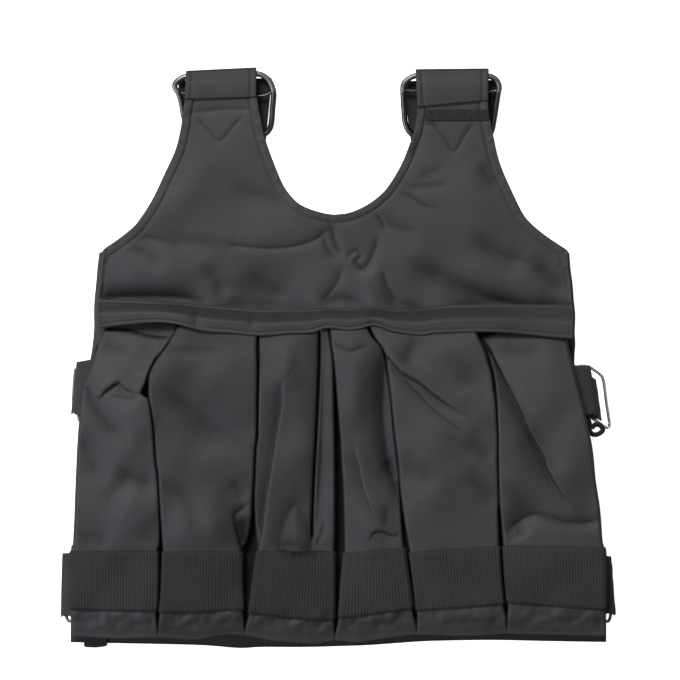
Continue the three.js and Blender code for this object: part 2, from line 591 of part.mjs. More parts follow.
// A shoulder: the ring leans from its top bar down to its lower one. The front strap goes through it
// and over its top bar, and the back panel's loop holds its middle bar.
function makeShoulder({ side, x, lean }) {
  const shoulder = new THREE.Group();
  shoulder.position.set(x * HALF_WIDTH, RING_TOP, 0);
  shoulder.rotation.z = THREE.MathUtils.degToRad(lean);
  vest.add(shoulder);
  const slope = THREE.MathUtils.degToRad(SHOULDER_RING_SLOPE);
  const underPanel = (y) => PANEL_Z + shoulderLift(y / PANEL_HEIGHT) - PANEL_THICKNESS / 2;
  const onPanel = (y) => underPanel(y) + PANEL_THICKNESS + CLEAR + STRAP_THICKNESS / 2;
  const rearStrap = (y) => underPanel(y) - CLEAR - STRAP_THICKNESS / 2;
  const loopTurn = SHOULDER_RING_WIRE / 2 + CLEAR + LOOP_THICKNESS / 2;
  const strapTurn = SHOULDER_RING_WIRE / 2 + CLEAR + STRAP_THICKNESS / 2;

  const middleZ = rearStrap(PANEL_HEIGHT) - STRAP_THICKNESS / 2 - CLEAR - LOOP_THICKNESS / 2 - loopTurn;
  const topBar = new THREE.Vector2(RING_TOP, middleZ + MIDDLE_BAR_DROP * Math.sin(slope));
  const alongRing = (drop) =>
    new THREE.Vector2(topBar.x - drop * Math.cos(slope), topBar.y - drop * Math.sin(slope));
  const middleBar = alongRing(MIDDLE_BAR_DROP);
  const lowBar = alongRing(SHOULDER_RING_HEIGHT);
  const toSpace = (point, across) => new THREE.Vector3(across, point.x - RING_TOP, point.y);
  const add = (name, geometry, look) => shoulder.add(addPiece(`${name}_${side}`, geometry, look));

  const ring = wireRing({
    lowHalf: SHOULDER_RING_WIDTH / 2 - SHOULDER_RING_TAPER,
    highHalf: SHOULDER_RING_WIDTH / 2,
    height: SHOULDER_RING_HEIGHT,
    corner: SHOULDER_RING_CORNER,
    wire: SHOULDER_RING_WIRE,
    bars: [{ y: SHOULDER_RING_HEIGHT - MIDDLE_BAR_DROP, wire: MIDDLE_BAR_WIRE }],
  });
  ring.translate(0, -SHOULDER_RING_HEIGHT, 0).rotateX(slope).translate(0, 0, topBar.y);
  add("shoulder_ring", ring, GUNMETAL);

  const strapPath = [
    new THREE.Vector2(STRAP_REAR_END, rearStrap(STRAP_REAR_END)),
    new THREE.Vector2(STRAP_REAR_END + STRAP_RISE, rearStrap(STRAP_REAR_END + STRAP_RISE)),
    new THREE.Vector2(middleBar.x + loopTurn, rearStrap(PANEL_HEIGHT)),
    ...turnPoints(topBar, strapTurn, 6, -140, 90),
    new THREE.Vector2(topBar.x - STRAP_RISE, (topBar.y + strapTurn + onPanel(PANEL_HEIGHT)) / 2 + CLEAR),
    new THREE.Vector2(topBar.x - 2 * STRAP_RISE, onPanel(PANEL_HEIGHT)),
    new THREE.Vector2(STRAP_END, onPanel(STRAP_END)),
  ];
  add("shoulder_strap", strap(strapPath, STRAP_WIDTH, STRAP_THICKNESS, toSpace), CLOTH);

  const onBack = BACK_THICKNESS + CLEAR + LOOP_THICKNESS / 2;
  const backEnd = PANEL_HEIGHT - BACK_SHOULDER_GAP;
  const loopFront = middleBar.y + loopTurn;
  const loopRoom = loopTurn + LOOP_THICKNESS;
  const loopEnd = new THREE.Vector2(lowBar.x + loopRoom, lowBar.y + loopRoom);
  const loopPath = [
    new THREE.Vector2(backEnd - WEB_OVERLAP, onBack),
    new THREE.Vector2(backEnd, onBack),
    new THREE.Vector2(lowBar.x, lowBar.y - loopTurn - CLEAR / 2),
    new THREE.Vector2((lowBar.x + middleBar.x) / 2, (lowBar.y + middleBar.y) / 2 - loopTurn - CLEAR),
    ...turnPoints(middleBar, loopTurn, 4, -90, 90),
    new THREE.Vector2((loopEnd.x + middleBar.x) / 2, (loopEnd.y + loopFront) / 2),
    loopEnd,
  ];
  add("shoulder_loop", strap(loopPath, LOOP_WIDTH, LOOP_THICKNESS, toSpace), DARK_WEBBING);
}

// The strip of hook tape on the right shoulder, below the folded strap
function makeHookTape() {
  const geometry = clothSheet({
    us: evenly(3, HOOK_TAPE.from, HOOK_TAPE.to),
    vs: evenly(1, HOOK_TAPE.foot, HOOK_TAPE.head),
    thickness: HOOK_TAPE.thickness,
    place: panelSurface,
    lift: PANEL_THICKNESS / 2 + CLEAR + HOOK_TAPE.thickness / 2,
  });
  addPiece("shoulder_hook_right", geometry, DARK_WEBBING);
}

// A side ring with its keeper and its adjusting strap. Both fold round a bar of the ring, and the
// upper right strap is pulled up over the ring's inner bar instead of round its outer one.
function makeSideRing({ name, side, x, up, web, turn, around }) {
  const y = up * POCKET_HEIGHT;
  const drop = INNER_BAR_Z - OUTER_BAR_Z;
  const reach = SIDE_RING_WIDTH - SIDE_RING_WIRE;
  const spread = Math.sqrt(reach * reach - drop * drop);
  const overBar = around === "outer" ? SIDE_TURN + WEB_THICKNESS / 2 : SIDE_RING_WIRE / 2;
  const outerX = Math.abs(x) * HALF_WIDTH - overBar;
  const innerBar = new THREE.Vector2(outerX - spread, INNER_BAR_Z);
  const outerBar = new THREE.Vector2(outerX, OUTER_BAR_Z);

  const group = new THREE.Group();
  group.position.set(side * innerBar.x, y, 0);
  group.rotation.z = THREE.MathUtils.degToRad(side * turn);
  vest.add(group);
  const toSpace = (point, across) => new THREE.Vector3(side * (point.x - innerBar.x), across, point.y);
  const add = (piece, geometry, look) => group.add(addPiece(`${piece}_${name}`, geometry, look));

  const ringHalf = web / 2 + SIDE_RING_PLAY;
  const ring = wireRing({
    lowHalf: ringHalf,
    highHalf: ringHalf,
    height: reach,
    corner: SIDE_RING_CORNER,
    wire: SIDE_RING_WIRE,
  });
  ring.rotateZ((-side * Math.PI) / 2);
  ring.rotateY(side * Math.asin(drop / reach));
  ring.translate(0, 0, INNER_BAR_Z);
  add("side_ring", ring, CHROME);

  const keeperPath = [
    new THREE.Vector2(innerBar.x - WEB_OVERLAP, KEEPER_HIGH_Z),
    ...turnPoints(innerBar, SIDE_TURN, 6, 90, -90),
    new THREE.Vector2(innerBar.x - WEB_OVERLAP / 4, KEEPER_LOW_Z),
  ];
  add("ring_keeper", strap(keeperPath, web * KEEPER_SHARE, WEB_THICKNESS, toSpace), WEBBING);

  const backEdge = between(SIDE_EDGES, "up", y / PANEL_HEIGHT, (row) => (side < 0 ? -row.left : row.right));
  const start = new THREE.Vector2(backEdge * HALF_WIDTH - WEB_OVERLAP, SIDE_STRAP_Z);
  const wide = SIDE_TURN + WEB_THICKNESS + CLEAR;
  const topZ = PANEL_TOP + CLEAR + WEB_THICKNESS / 2;
  const strapPath =
    around === "outer"
      ? [
          start,
          ...turnPoints(outerBar, SIDE_TURN, 7, -90, 150),
          new THREE.Vector2(outerBar.x - 2 * SIDE_TURN, KEEPER_LOW_Z),
          new THREE.Vector2(outerBar.x - 3 * SIDE_TURN, KEEPER_LOW_Z),
        ]
      : [
          start,
          ...PULLED_STRAP.map(({ out, rise }) => {
            const z = THREE.MathUtils.lerp(SIDE_STRAP_Z, topZ, rise);
            return new THREE.Vector2(innerBar.x + out * wide, z);
          }),
        ];
  add("side_strap", strap(strapPath, web, WEB_THICKNESS, toSpace), WEBBING);
}

makeFrontPanel();
makeBackPanel();
makeHemTab();
for (let index = 0; index < POCKET_COUNT; index += 1) makePocket(index);
makeFlap();
SHOULDERS.forEach(makeShoulder);
makeHookTape();
SIDE_RINGS.forEach(makeSideRing);

// The origin is the middle of the vest's footprint on the floor
vest.updateMatrixWorld(true);
const box = new THREE.Box3().setFromObject(vest, true);
const middle = box.getCenter(new THREE.Vector3());
vest.position.set(-middle.x, -middle.y, -box.min.z);

export default vest;
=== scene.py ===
"""An adjustable weighted vest with empty pockets, lying on its back and seen from straight above."""
import json
import math
from functools import partial
from typing import NamedTuple

import bpy
import numpy as np
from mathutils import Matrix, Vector

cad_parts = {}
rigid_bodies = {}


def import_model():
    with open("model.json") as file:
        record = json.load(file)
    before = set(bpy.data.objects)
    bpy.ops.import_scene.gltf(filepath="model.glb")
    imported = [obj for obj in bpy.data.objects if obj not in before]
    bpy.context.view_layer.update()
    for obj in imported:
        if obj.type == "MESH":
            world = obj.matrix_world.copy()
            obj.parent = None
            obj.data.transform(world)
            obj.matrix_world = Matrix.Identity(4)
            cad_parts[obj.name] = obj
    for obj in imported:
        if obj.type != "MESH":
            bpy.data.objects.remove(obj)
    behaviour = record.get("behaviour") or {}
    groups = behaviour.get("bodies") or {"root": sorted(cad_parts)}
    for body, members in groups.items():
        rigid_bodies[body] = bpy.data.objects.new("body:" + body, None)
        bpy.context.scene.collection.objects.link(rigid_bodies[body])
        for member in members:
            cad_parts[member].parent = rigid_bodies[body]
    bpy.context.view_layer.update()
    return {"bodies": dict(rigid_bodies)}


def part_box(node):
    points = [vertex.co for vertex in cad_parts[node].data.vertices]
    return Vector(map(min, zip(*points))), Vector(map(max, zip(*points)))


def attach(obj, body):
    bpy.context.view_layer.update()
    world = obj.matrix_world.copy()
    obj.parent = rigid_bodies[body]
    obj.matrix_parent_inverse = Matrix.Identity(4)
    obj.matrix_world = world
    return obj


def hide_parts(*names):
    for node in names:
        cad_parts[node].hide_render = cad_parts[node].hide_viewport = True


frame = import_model()
BODY = next(iter(frame["bodies"]))

MM = 0.001

# The photograph: the size of a pixel at the height of the panel, and the pixel over the origin.
# Tables below hold places in its pixels, x to the right and y down, and plan() makes them metres.
PIXEL = 0.772 * MM
ORIGIN_PX = (338.5, 357.73)
PHOTO_SIZE = 680
PHOTO_PLANE = 13 * MM
CAMERA_DISTANCE = 2.4
HEM_PY = 637.0
BACK_HEM_PY = 644.0

# Thicknesses of the cloths, the gap between two of them, and the heights that the pockets start from
PANEL_THICKNESS = 2.0 * MM
BACK_THICKNESS = 2.0 * MM
POCKET_THICKNESS = 1.4 * MM
BAND_THICKNESS = 1.0 * MM
FLAP_THICKNESS = 1.8 * MM
STRAP_THICKNESS = 1.5 * MM
WEB_THICKNESS = 1.2 * MM
CLEAR = 0.35 * MM
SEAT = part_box("pocket_1")[0].z
PANEL_Z = SEAT - CLEAR - PANEL_THICKNESS / 2
POCKET_DEPTH = 18.0 * MM
SHOULDER_LIFT = 1.5 * MM

# The rim of a sheet is this share of its thickness
EDGE_SHARE = 0.55

# How much deeper than its table says the light needs a fold to be, and how wide creases and steps are
FOLD_DEPTH = 1.35
CREASE_SOFT = 0.4 * MM
CREASE_WIDTH = 1.15 * MM
STEP_WIDTH = 0.9 * MM

# The outer edges of the front panel, from the shoulder down past the flap to the hem
PANEL_LEFT = [
    (186, 90), (184.8, 100), (183.3, 109), (182, 116), (181, 126.5), (175.5, 149.5), (164, 175),
    (152, 200), (138, 221.5), (128, 231.5), (116, 240.6), (105, 248.2), (103, 250.4), (102, 258),
    (101, 266), (99.5, 283), (98, 298), (97.3, 312), (97.4, 330), (95, 352), (90, 380), (84.5, 420),
    (80, 480), (76.5, 540), (74.5, 600), (74, 650),
]
PANEL_RIGHT = [
    (488.5, 90), (488.3, 100), (488.3, 110), (491.6, 126.5), (493.5, 137), (500.5, 165), (516, 200),
    (526, 218), (541, 232), (555, 242), (566.6, 249.6), (568.2, 252.5), (568.6, 260), (569.4, 270),
    (571.4, 284), (572.5, 300), (574, 315), (573, 338), (571, 364), (578, 400), (587, 450), (595, 500),
    (600, 556), (602.5, 609), (602.8, 650),
]
NECK_LEFT = [
    (257, 90), (257.6, 100), (259, 110), (261, 119), (265, 138), (275, 166), (285, 188), (297, 202),
    (307, 207.8), (316, 211), (326, 213.6), (334, 214.6),
]
NECK_RIGHT = [
    (417.5, 90), (417.7, 100), (417.4, 111), (414, 132), (410, 143), (401, 165), (388, 186.5),
    (379, 196), (369, 203.6), (359, 209), (350, 212.4), (342, 214.3), (334, 214.6),
]
NECK_LOW = (334, 214.6)
HEM_EDGE = [
    (60, 636.5), (73, 636.5), (115, 638.6), (158, 638), (197, 640), (224, 635), (245, 636), (272, 641),
    (288, 642.7), (316, 644), (336, 641), (357, 642.7), (384, 639), (417, 635), (467, 636), (505, 634),
    (535, 634.5), (601, 636), (620, 636),
]
BACK_HEM_EDGE = [
    (60, 642), (107, 643), (197, 645), (239, 648), (261, 647), (307, 647), (343, 646), (370, 645),
    (398, 643), (430, 641), (490, 640), (544, 641), (603, 642), (620, 642),
]


class Fold(NamedTuple):
    """A dent, crease or step of a cloth along a path of the photograph, with its sizes in millimetres.

    A step raises the cloth on the right of a path that runs down, by rise and over far, and drops it on the
    left. Dark is the share of the light that is lost where the cloth is deepest.
    """

    kind: str
    depth: float
    reach: float
    path: list
    rise: float = 0.0
    far: float = 10.0
    dark: float = 0.75


crease = partial(Fold, "crease")
ridge = partial(Fold, "ridge")
slot = partial(Fold, "slot")
step = partial(Fold, "step")
valley = partial(Fold, "valley")

BIB_FOLDS = [
    crease(1.4, 3.0, [
        (329, 228), (322, 234), (314, 240), (294, 246), (272, 248), (252, 247), (225, 244),
    ]),
    valley(0.8, 8, [(239, 245), (190, 240), (161, 232)]),
    valley(1.4, 5, [(128, 250), (141, 251), (153, 258), (165, 268)]),
    valley(1.1, 4, [(136, 241), (148, 238), (165, 241), (190, 249)]),
    valley(4.2, 12, [(92, 300), (130, 300), (170, 301), (206, 303)], dark=1),
    valley(2.6, 12, [(205, 302), (240, 305), (322, 308)]),
    valley(2.2, 9, [(204, 264), (216, 280), (226, 300)]),
    valley(2.0, 10, [(246, 272), (266, 286), (292, 300)]),
    valley(1.2, 9, [(229, 185), (250, 192), (271, 197), (290, 209)]),
    ridge(2.0, 22, [(110, 272), (150, 268), (190, 272)]),
    crease(1.8, 3.0, [(330, 222), (335, 240), (340, 252), (343, 258)]),
    crease(1.2, 2.6, [(322, 232), (328, 250), (338, 262)]),
    crease(1.3, 2.4, [
        (346, 262), (350, 254), (357, 251), (360, 256), (356, 262), (362, 268), (369, 265),
    ]),
    crease(1.4, 2.8, [(355, 269), (364, 268), (371, 258), (375, 248), (377, 236)]),
    crease(1.3, 3.0, [(341, 266), (338, 280), (330, 292), (322, 302)]),
    valley(2.4, 7, [(318, 306), (342, 299), (368, 307)], dark=0.9),
    valley(1.6, 8, [(380, 292), (398, 304), (430, 309)], dark=0.9),
    crease(1.6, 3.0, [(382, 268), (386, 284), (394, 298), (402, 306)]),
    ridge(1.2, 9, [(362, 286), (374, 278), (378, 268)]),
    crease(0.7, 2.4, [(376, 212), (381, 222), (386, 232)]),
    valley(0.9, 5, [(388, 212), (394, 226), (420, 232)]),
    crease(0.6, 2.8, [(400, 192), (412, 197), (424, 205), (438, 208)]),
    valley(0.7, 4, [(418, 178), (430, 172), (446, 166)]),
    valley(0.7, 3.4, [(405, 187), (430, 186), (452, 183)]),
    valley(0.9, 6, [(478, 166), (490, 178), (498, 190)]),
    valley(2.6, 8, [(474, 234), (490, 248), (509, 258), (534, 264)], dark=0.9),
    valley(2.6, 8, [(528, 262), (545, 271), (560, 285), (570, 297)], dark=0.9),
    valley(4.6, 9, [(414, 264), (440, 276), (466, 289), (492, 299), (530, 305)], dark=1),
    valley(3.0, 9, [(452, 306), (490, 305), (530, 305), (576, 304)], dark=1),
    ridge(1.4, 12, [(452, 262), (486, 278), (520, 290), (540, 294)]),
    crease(1.0, 2.4, [(187, 113), (205, 111), (228, 109), (252, 109.5)], dark=0.45),
    crease(0.6, 1.6, [(196, 117), (208, 129), (219.5, 140.6), (232, 128), (244, 115)], dark=0.5),
    crease(0.6, 1.6, [(431, 120), (443, 136), (454, 151), (464, 137), (474, 122)], dark=0.5),
    crease(0.7, 2.2, [(420, 127), (432, 125), (442, 130)], dark=0.3),
    valley(1.2, 3, [(422, 133), (417, 145), (414, 160)], dark=0.4),
    ridge(1.6, 14, [(130, 225), (180, 200), (210, 150)]),
    ridge(1.0, 12, [(470, 150), (480, 200), (520, 240)]),
    ridge(3.0, 10, [(92, 338), (130, 340), (185, 344)]),
    valley(3.0, 5, [(98, 298), (130, 296), (170, 296), (206, 301)], dark=1.1),
    valley(2.0, 15, [(214, 286), (260, 290), (312, 297)], dark=0.5),
    ridge(1.2, 12, [(110, 275), (150, 278), (195, 284)]),
    ridge(3.0, 10, [(486, 348), (530, 346), (580, 348)]),
]

# The two edges of each line between neighbouring pockets: y, then the left and the right pocket's edge
POCKET_LINES = [
    [
        (318, 108, 108), (328, 105, 105), (350, 97.5, 97.5), (356, 95, 95), (379, 87, 87),
        (387, 83.7, 83.7), (412, 80.8, 80.8), (440, 78.3, 78.3), (490, 76, 76), (540, 74, 74),
        (552, 71.6, 71.6), (609, 71.6, 71.6), (645, 72.8, 72.8),
    ],
    [
        (318, 178, 183), (328, 175, 178), (336, 171, 173.5), (348, 164, 167), (360, 154.5, 157.5),
        (374, 148, 150.5), (384, 144.5, 149.5), (393, 140.5, 149.3), (397, 143, 149.5),
        (401, 148.2, 149.9), (428, 152, 153.8), (459, 154.5, 156.2), (477, 157, 158.6),
        (505, 158.3, 160), (540, 159, 163), (552, 157.5, 163.3), (573, 157.5, 163), (600, 156.8, 161.5),
        (612, 156, 160), (625, 157, 159), (645, 157.6, 158.5),
    ],
    [
        (318, 257, 259), (338, 256.6, 259), (346, 256, 259.5), (372, 256.5, 259.8), (400, 256, 259.4),
        (435, 255.6, 258.8), (450, 254, 256.8), (475, 253, 255.8), (500, 251.5, 254.8),
        (520, 250.5, 256), (540, 247, 258), (550, 241.8, 258.6), (575, 241.4, 254.6),
        (600, 242.5, 251.6), (612, 243, 250), (632, 244.4, 245.4), (645, 244.6, 245.2),
    ],
    [
        (318, 327, 330), (337, 329, 331.4), (357, 332, 334), (368, 332.6, 335.6), (402, 333.2, 338.5),
        (436, 333.8, 341.3), (459, 334.2, 342.4), (491, 334.2, 344.4), (532, 334, 345.5),
        (552, 334, 345), (580, 334, 342.3), (600, 334, 341), (614, 334, 339.8), (632, 334.3, 336),
        (645, 334.5, 335.4),
    ],
    [
        (318, 362, 366), (337, 371, 375), (348, 380.5, 383.5), (359, 384, 387), (374, 387, 389),
        (396, 390, 391.9), (428, 393, 394.9), (460, 397, 398.9), (490, 399.5, 401.4),
        (507, 400, 403.5), (532, 401.5, 407.5), (559, 405.5, 411.5), (587, 409.5, 415),
        (614, 413, 417.4), (628, 415.9, 417.4), (645, 416.5, 417.3),
    ],
    [
        (318, 472, 474), (334, 477, 479.5), (350, 484, 487.5), (364, 488, 491.5), (375, 491, 494.5),
        (390, 493, 496.4), (404, 495, 497.4), (436, 497, 499), (460, 497, 499), (500, 498, 500.4),
        (512, 497.5, 501.5), (540, 498, 504), (570, 500, 505.5), (603, 503, 508.2), (615, 505, 508),
        (622, 506.4, 507.8), (645, 507, 508),
    ],
    [
        (318, 563, 563), (346, 567.6, 567.6), (364, 571.6, 571.6), (388, 578, 578), (420, 586, 586),
        (450, 592, 592), (480, 595, 595), (510, 599.5, 599.5), (540, 601.8, 601.8),
        (556, 604.6, 604.6), (609, 604.8, 604.8), (645, 604.6, 604.6),
    ],
]

# Each pocket's mouth, and its elastic: y of the band's upper and lower edge at its left and right end
POCKET_MOUTHS = [
    [(95, 323), (106, 321), (129, 319), (149, 320), (161, 322), (180, 326)],
    [(150, 326), (200, 326), (262, 327)],
    [(250, 326), (340, 323)],
    [(320, 322), (380, 320)],
    [(360, 321), (400, 324), (490, 326)],
    [(470, 338), (488, 335), (514, 331), (565, 333), (580, 334)],
]
BANDS = [
    (551, 551, 609.5, 611),
    (551.5, 551.5, 612.5, 610.5),
    (551, 551, 613, 618.5),
    (552.5, 547.7, 616, 609.5),
    (552, 546, 611.5, 605),
    (545.5, 547.5, 603.5, 610),
]

# How far the pockets stand off the panel at shares of the way up, as shares of POCKET_DEPTH
RISE_UP = [0, 0.012, 0.022, 0.04, 0.086, 0.18, 0.283, 0.34, 0.42, 0.58, 0.74, 0.9, 1]
RISE = [0.02, 0.05, 0.11, 0.22, 0.46, 0.6, 0.7, 0.76, 0.84, 0.93, 0.98, 0.93, 0.66]

# The pockets whose mouths lie flatter, and the share of the light that painted shade takes from each pocket
# as a whole
FLAT_MOUTHS = (0, 5)
POCKET_SHADE = (0, 0.2, 0.17, 0.06, 0, 0)

POCKET_FOLDS = [
    [
        step(2.6, 7, [
            (96, 399), (101, 396), (105, 391), (113, 385), (119, 382.5), (125, 388), (133, 392), (142, 396),
        ], rise=1.2, far=9, dark=0.5),
        crease(0.9, 2.4, [(108, 399), (115, 396), (124, 397), (137, 396)]),
        crease(1.2, 3.0, [(83, 386), (88, 390), (93, 396), (98, 400)]),
        valley(3.4, 8, [(86, 388), (93, 401), (101, 413), (115, 430), (129, 445)], dark=0.9),
        valley(2.6, 10, [(78, 432), (92, 458), (106, 482)], dark=0.6),
        valley(3.0, 9, [(116, 470), (138, 481), (160, 488)], dark=0.8),
        valley(1.2, 12, [(80, 545), (95, 538), (110, 545)]),
        ridge(2.2, 16, [(115, 500), (135, 512), (150, 530)]),
        ridge(1.4, 12, [(120, 404), (136, 418), (146, 440)]),
        valley(1.0, 7, [(100, 345), (118, 350), (130, 346)]),
        valley(4.0, 5, [(95, 321), (130, 318), (160, 321), (180, 325)], dark=0),
        step(3.0, 4, [
            (172, 337), (161, 338), (149, 336.5), (129, 332), (106, 330), (95, 331),
        ], rise=0.6, dark=0.9),
        valley(2.0, 6, [(112, 325), (135, 327), (155, 331), (172, 333)], dark=0.9),
    ],
    [
        valley(1.8, 7, [(164, 353), (195, 351), (229, 352)]),
        valley(4.2, 12, [(160, 386), (195, 413), (217, 432), (250, 449)], dark=0.9),
        ridge(1.8, 16, [(200, 372), (228, 402), (248, 425)]),
        valley(1.2, 8, [(162, 480), (185, 500), (195, 530)]),
        ridge(1.8, 12, [(200, 490), (216, 515), (226, 545)]),
        step(4.0, 7, [(243, 570), (241, 552), (238, 538), (234, 524), (232, 514)], rise=0.6, far=8),
        valley(2.4, 3, [(232, 517), (239, 511), (248, 505)], dark=1.2),
        valley(2.0, 8, [(242, 513), (245, 530), (248, 552)], dark=1.8),
        ridge(3.0, 14, [(170, 520), (200, 528), (226, 522)]),
        valley(1.2, 6, [(232, 480), (240, 492), (246, 500)]),
        valley(1.5, 20, [(160, 352), (205, 392), (240, 440)], dark=0.5),
        valley(1.0, 12, [(175, 340), (215, 338), (250, 345)], dark=0.5),
    ],
    [
        step(3.2, 9, [
            (288, 383.5), (283, 384), (281, 408), (278, 425), (275, 442), (268, 487), (262, 532),
            (258.5, 552),
        ], rise=0.6, far=9),
        ridge(2.0, 10, [(286, 338), (285, 360), (284, 392)]),
        slot(5.5, 1.3, [
            (319.5, 330), (319, 368), (317.6, 402), (316, 436), (313.8, 477), (312.4, 515), (312, 540),
        ]),
        valley(3.2, 6, [(323, 330), (322, 420), (320, 480), (316, 535)], dark=0.8),
        valley(2.4, 7, [(280, 545), (286, 520), (296, 505), (306, 520), (310, 540)], dark=0.5),
        valley(2.6, 7, [(270, 540), (290, 546), (312, 550), (334, 546)], dark=0.9),
        crease(1.6, 2.6, [(325, 520), (321, 534), (317, 547)]),
        crease(1.1, 2.2, [(276, 548), (290, 554), (312, 556), (322, 552)]),
        valley(2.5, 5, [(313, 520), (311, 545), (309, 556)], dark=0.9),
    ],
    [
        valley(5.0, 9, [
            (384, 345), (384, 380), (384, 420), (388, 460), (397, 484), (404, 508),
        ], dark=1),
        ridge(1.4, 9, [(352, 360), (356, 400), (354, 430)]),
        crease(0.9, 2.4, [(333, 342), (342, 348), (351.5, 351), (362, 347), (371, 345)]),
        step(1.6, 7, [(355, 446), (359, 466), (364, 490), (371, 508), (377, 522)], rise=0.8, far=8),
        step(1.8, 5, [(369, 539), (374, 532), (383, 531), (394, 535), (399, 532)], rise=0.8, far=6),
        valley(1.4, 6, [(388, 505), (386, 518), (383, 528)]),
        valley(1.4, 11, [(380, 352), (382, 400), (386, 440), (396, 484)], dark=0.9),
        valley(2.2, 5, [(384, 462), (392, 470), (397, 478)], dark=1),
    ],
    [
        step(3.4, 9, [
            (375, 338), (384, 351), (394, 364), (402, 372), (418, 381), (434, 394), (452, 407), (464, 416),
        ], rise=1.4, dark=0.8),
        crease(0.8, 3.0, [(402, 378), (418, 394), (434, 410), (453, 425), (466, 434)]),
        valley(1.6, 8, [(418, 338), (410, 352), (403, 364)]),
        valley(1.3, 9, [(465, 440), (480, 450), (494, 462)]),
        valley(1.2, 10, [(468, 470), (484, 492), (496, 506)]),
        ridge(1.4, 16, [(418, 440), (440, 480), (450, 520)]),
        valley(1.0, 12, [(448, 350), (462, 372), (470, 392)]),
        valley(0.9, 12, [(400, 455), (420, 470), (440, 476)]),
    ],
    [
        step(5.2, 12, [
            (481, 334), (492, 353), (495, 359), (514, 396), (530, 431), (544, 457), (547, 468), (557, 486),
            (564, 497), (570, 508),
        ], rise=0.8, far=14, dark=1),
        valley(3.0, 4.5, [
            (506, 534), (514, 525), (526, 517.5), (537, 514.5), (550, 518), (565, 522), (582, 523),
            (604, 520),
        ], dark=1),
        valley(2.0, 5, [(524, 538), (520, 530), (524, 522)]),
        valley(1.0, 12, [(505, 480), (520, 505), (512, 520)]),
        valley(1.0, 7, [(497, 347), (520, 352), (545, 350)]),
        ridge(1.2, 16, [(560, 420), (575, 450), (585, 490)]),
        valley(1.5, 5, [(498, 334), (514, 330), (580, 332)]),
        valley(1.6, 8, [(500, 372), (520, 410), (545, 455), (560, 488)], dark=0.6),
    ],
]

# The flap's ends, upper edge, lower edge and dents, and where its seam runs, in from its rim
FLAP_ENDS = (97.8, 573.8)
FLAP_TOP = [
    (97.5, 299), (140, 300.6), (189, 303.6), (236, 308), (279, 310), (350, 308), (410, 309), (455, 305),
    (510, 304.6), (574, 305),
]
FLAP_LOW = [
    (97.5, 328.5), (120, 325.5), (153, 322.7), (176, 324.4), (203, 331), (231, 333.5), (260, 336),
    (288, 334), (311, 333), (328, 328.3), (348, 330.6), (360, 329), (370, 326.3), (379, 326.6),
    (394, 332), (421, 335.5), (434, 333.6), (460, 332.5), (479, 332), (506, 332.8), (530, 335),
    (559, 338), (574, 338.7),
]
FLAP_FOLDS = [
    valley(1.0, 2.6, [(196, 308), (196, 328)]),
    valley(0.8, 3.0, [(250, 312), (252, 330)]),
    valley(0.8, 6.0, [(372, 312), (372, 328)]),
    crease(0.5, 3.0, [(404, 309), (414, 311), (440, 308)]),
]
FLAP_SEAM = 3.4
FLAP_SEAM_WIDTH = 0.9


def plan(points):
    """Metres across the vest, from pixels of the photograph."""
    points = np.asarray(points, float)
    across = (points[..., 0] - ORIGIN_PX[0]) * PIXEL
    up = (ORIGIN_PX[1] - points[..., 1]) * PIXEL
    return np.stack([across, up], -1)


def plan_xy(px, py):
    """The two coordinates of the plan for grids of pixels."""
    return plan(np.stack([px, py], -1)).transpose(2, 0, 1)


CAMERA_XY = plan((PHOTO_SIZE / 2, PHOTO_SIZE / 2))


def seen_there(points):
    """Draws what lies nearer the camera towards the middle, so it shows where the photograph has it."""
    share = (CAMERA_DISTANCE + PHOTO_PLANE - points[..., 2:]) / CAMERA_DISTANCE
    points = points.copy()
    points[..., :2] = CAMERA_XY + (points[..., :2] - CAMERA_XY) * share
    return points


def smooth_path(points, spacing):
    """Close points along a smooth curve through the given ones."""
    p = np.asarray(points, float)
    p = np.vstack([2 * p[0] - p[1], p, 2 * p[-1] - p[-2]])
    out = []
    for a, b, c, d in zip(p, p[1:], p[2:], p[3:]):
        count = max(2, round(np.linalg.norm(c - b) / spacing))
        t = np.linspace(0, 1, count, endpoint=False)[:, None]
        cubic = (3 * b - a - 3 * c + d) * t**3
        out.append(0.5 * (2 * b + (c - a) * t + (2 * a - 5 * b + 4 * c - d) * t**2 + cubic))
    out.append(p[-2:-1])
    return np.vstack(out)


def edge_at(points, at, along=1):
    """The other coordinate of a smooth edge where one coordinate has a value."""
    path = smooth_path(points, 1.0)
    order = np.argsort(path[:, along])
    return np.interp(at, path[order, along], path[order, 1 - along])


def smoothstep(value, low, high):
    """A smooth rise from 0 to 1 between two values."""
    t = np.clip((value - low) / (high - low), 0, 1)
    return t * t * (3 - 2 * t)


def from_path(path, x, y):
    """Signed distance from a path and how far along it, for points of the plan.

    The distance is above zero on the left of the way that the path runs.
    """
    shape = x.shape
    at = np.stack([x.ravel(), y.ravel()], -1)
    length = np.concatenate([[0], np.cumsum(np.linalg.norm(np.diff(path, axis=0), axis=1))])
    tangent = np.gradient(path, axis=0)
    tangent /= np.linalg.norm(tangent, axis=1, keepdims=True)
    nearest = ((at[:, None, :] - path[None, :, :]) ** 2).sum(-1).argmin(1)
    away = at - path[nearest]
    way = tangent[nearest]
    across = way[:, 0] * away[:, 1] - way[:, 1] * away[:, 0]
    along = way[:, 0] * away[:, 0] + way[:, 1] * away[:, 1]
    inside = (nearest > 0) & (nearest < len(path) - 1)
    distance = np.where(inside, np.sqrt((away**2).sum(-1)) * np.sign(across), across)
    return distance.reshape(shape), (length[nearest] + along).reshape(shape), length[-1]


def near_path(path, margin, x, y):
    """Which points of the plan lie in a path's box, widened by a margin."""
    low, high = path.min(0) - margin, path.max(0) + margin
    return (x > low[0]) & (x < high[0]) & (y > low[1]) & (y < high[1])


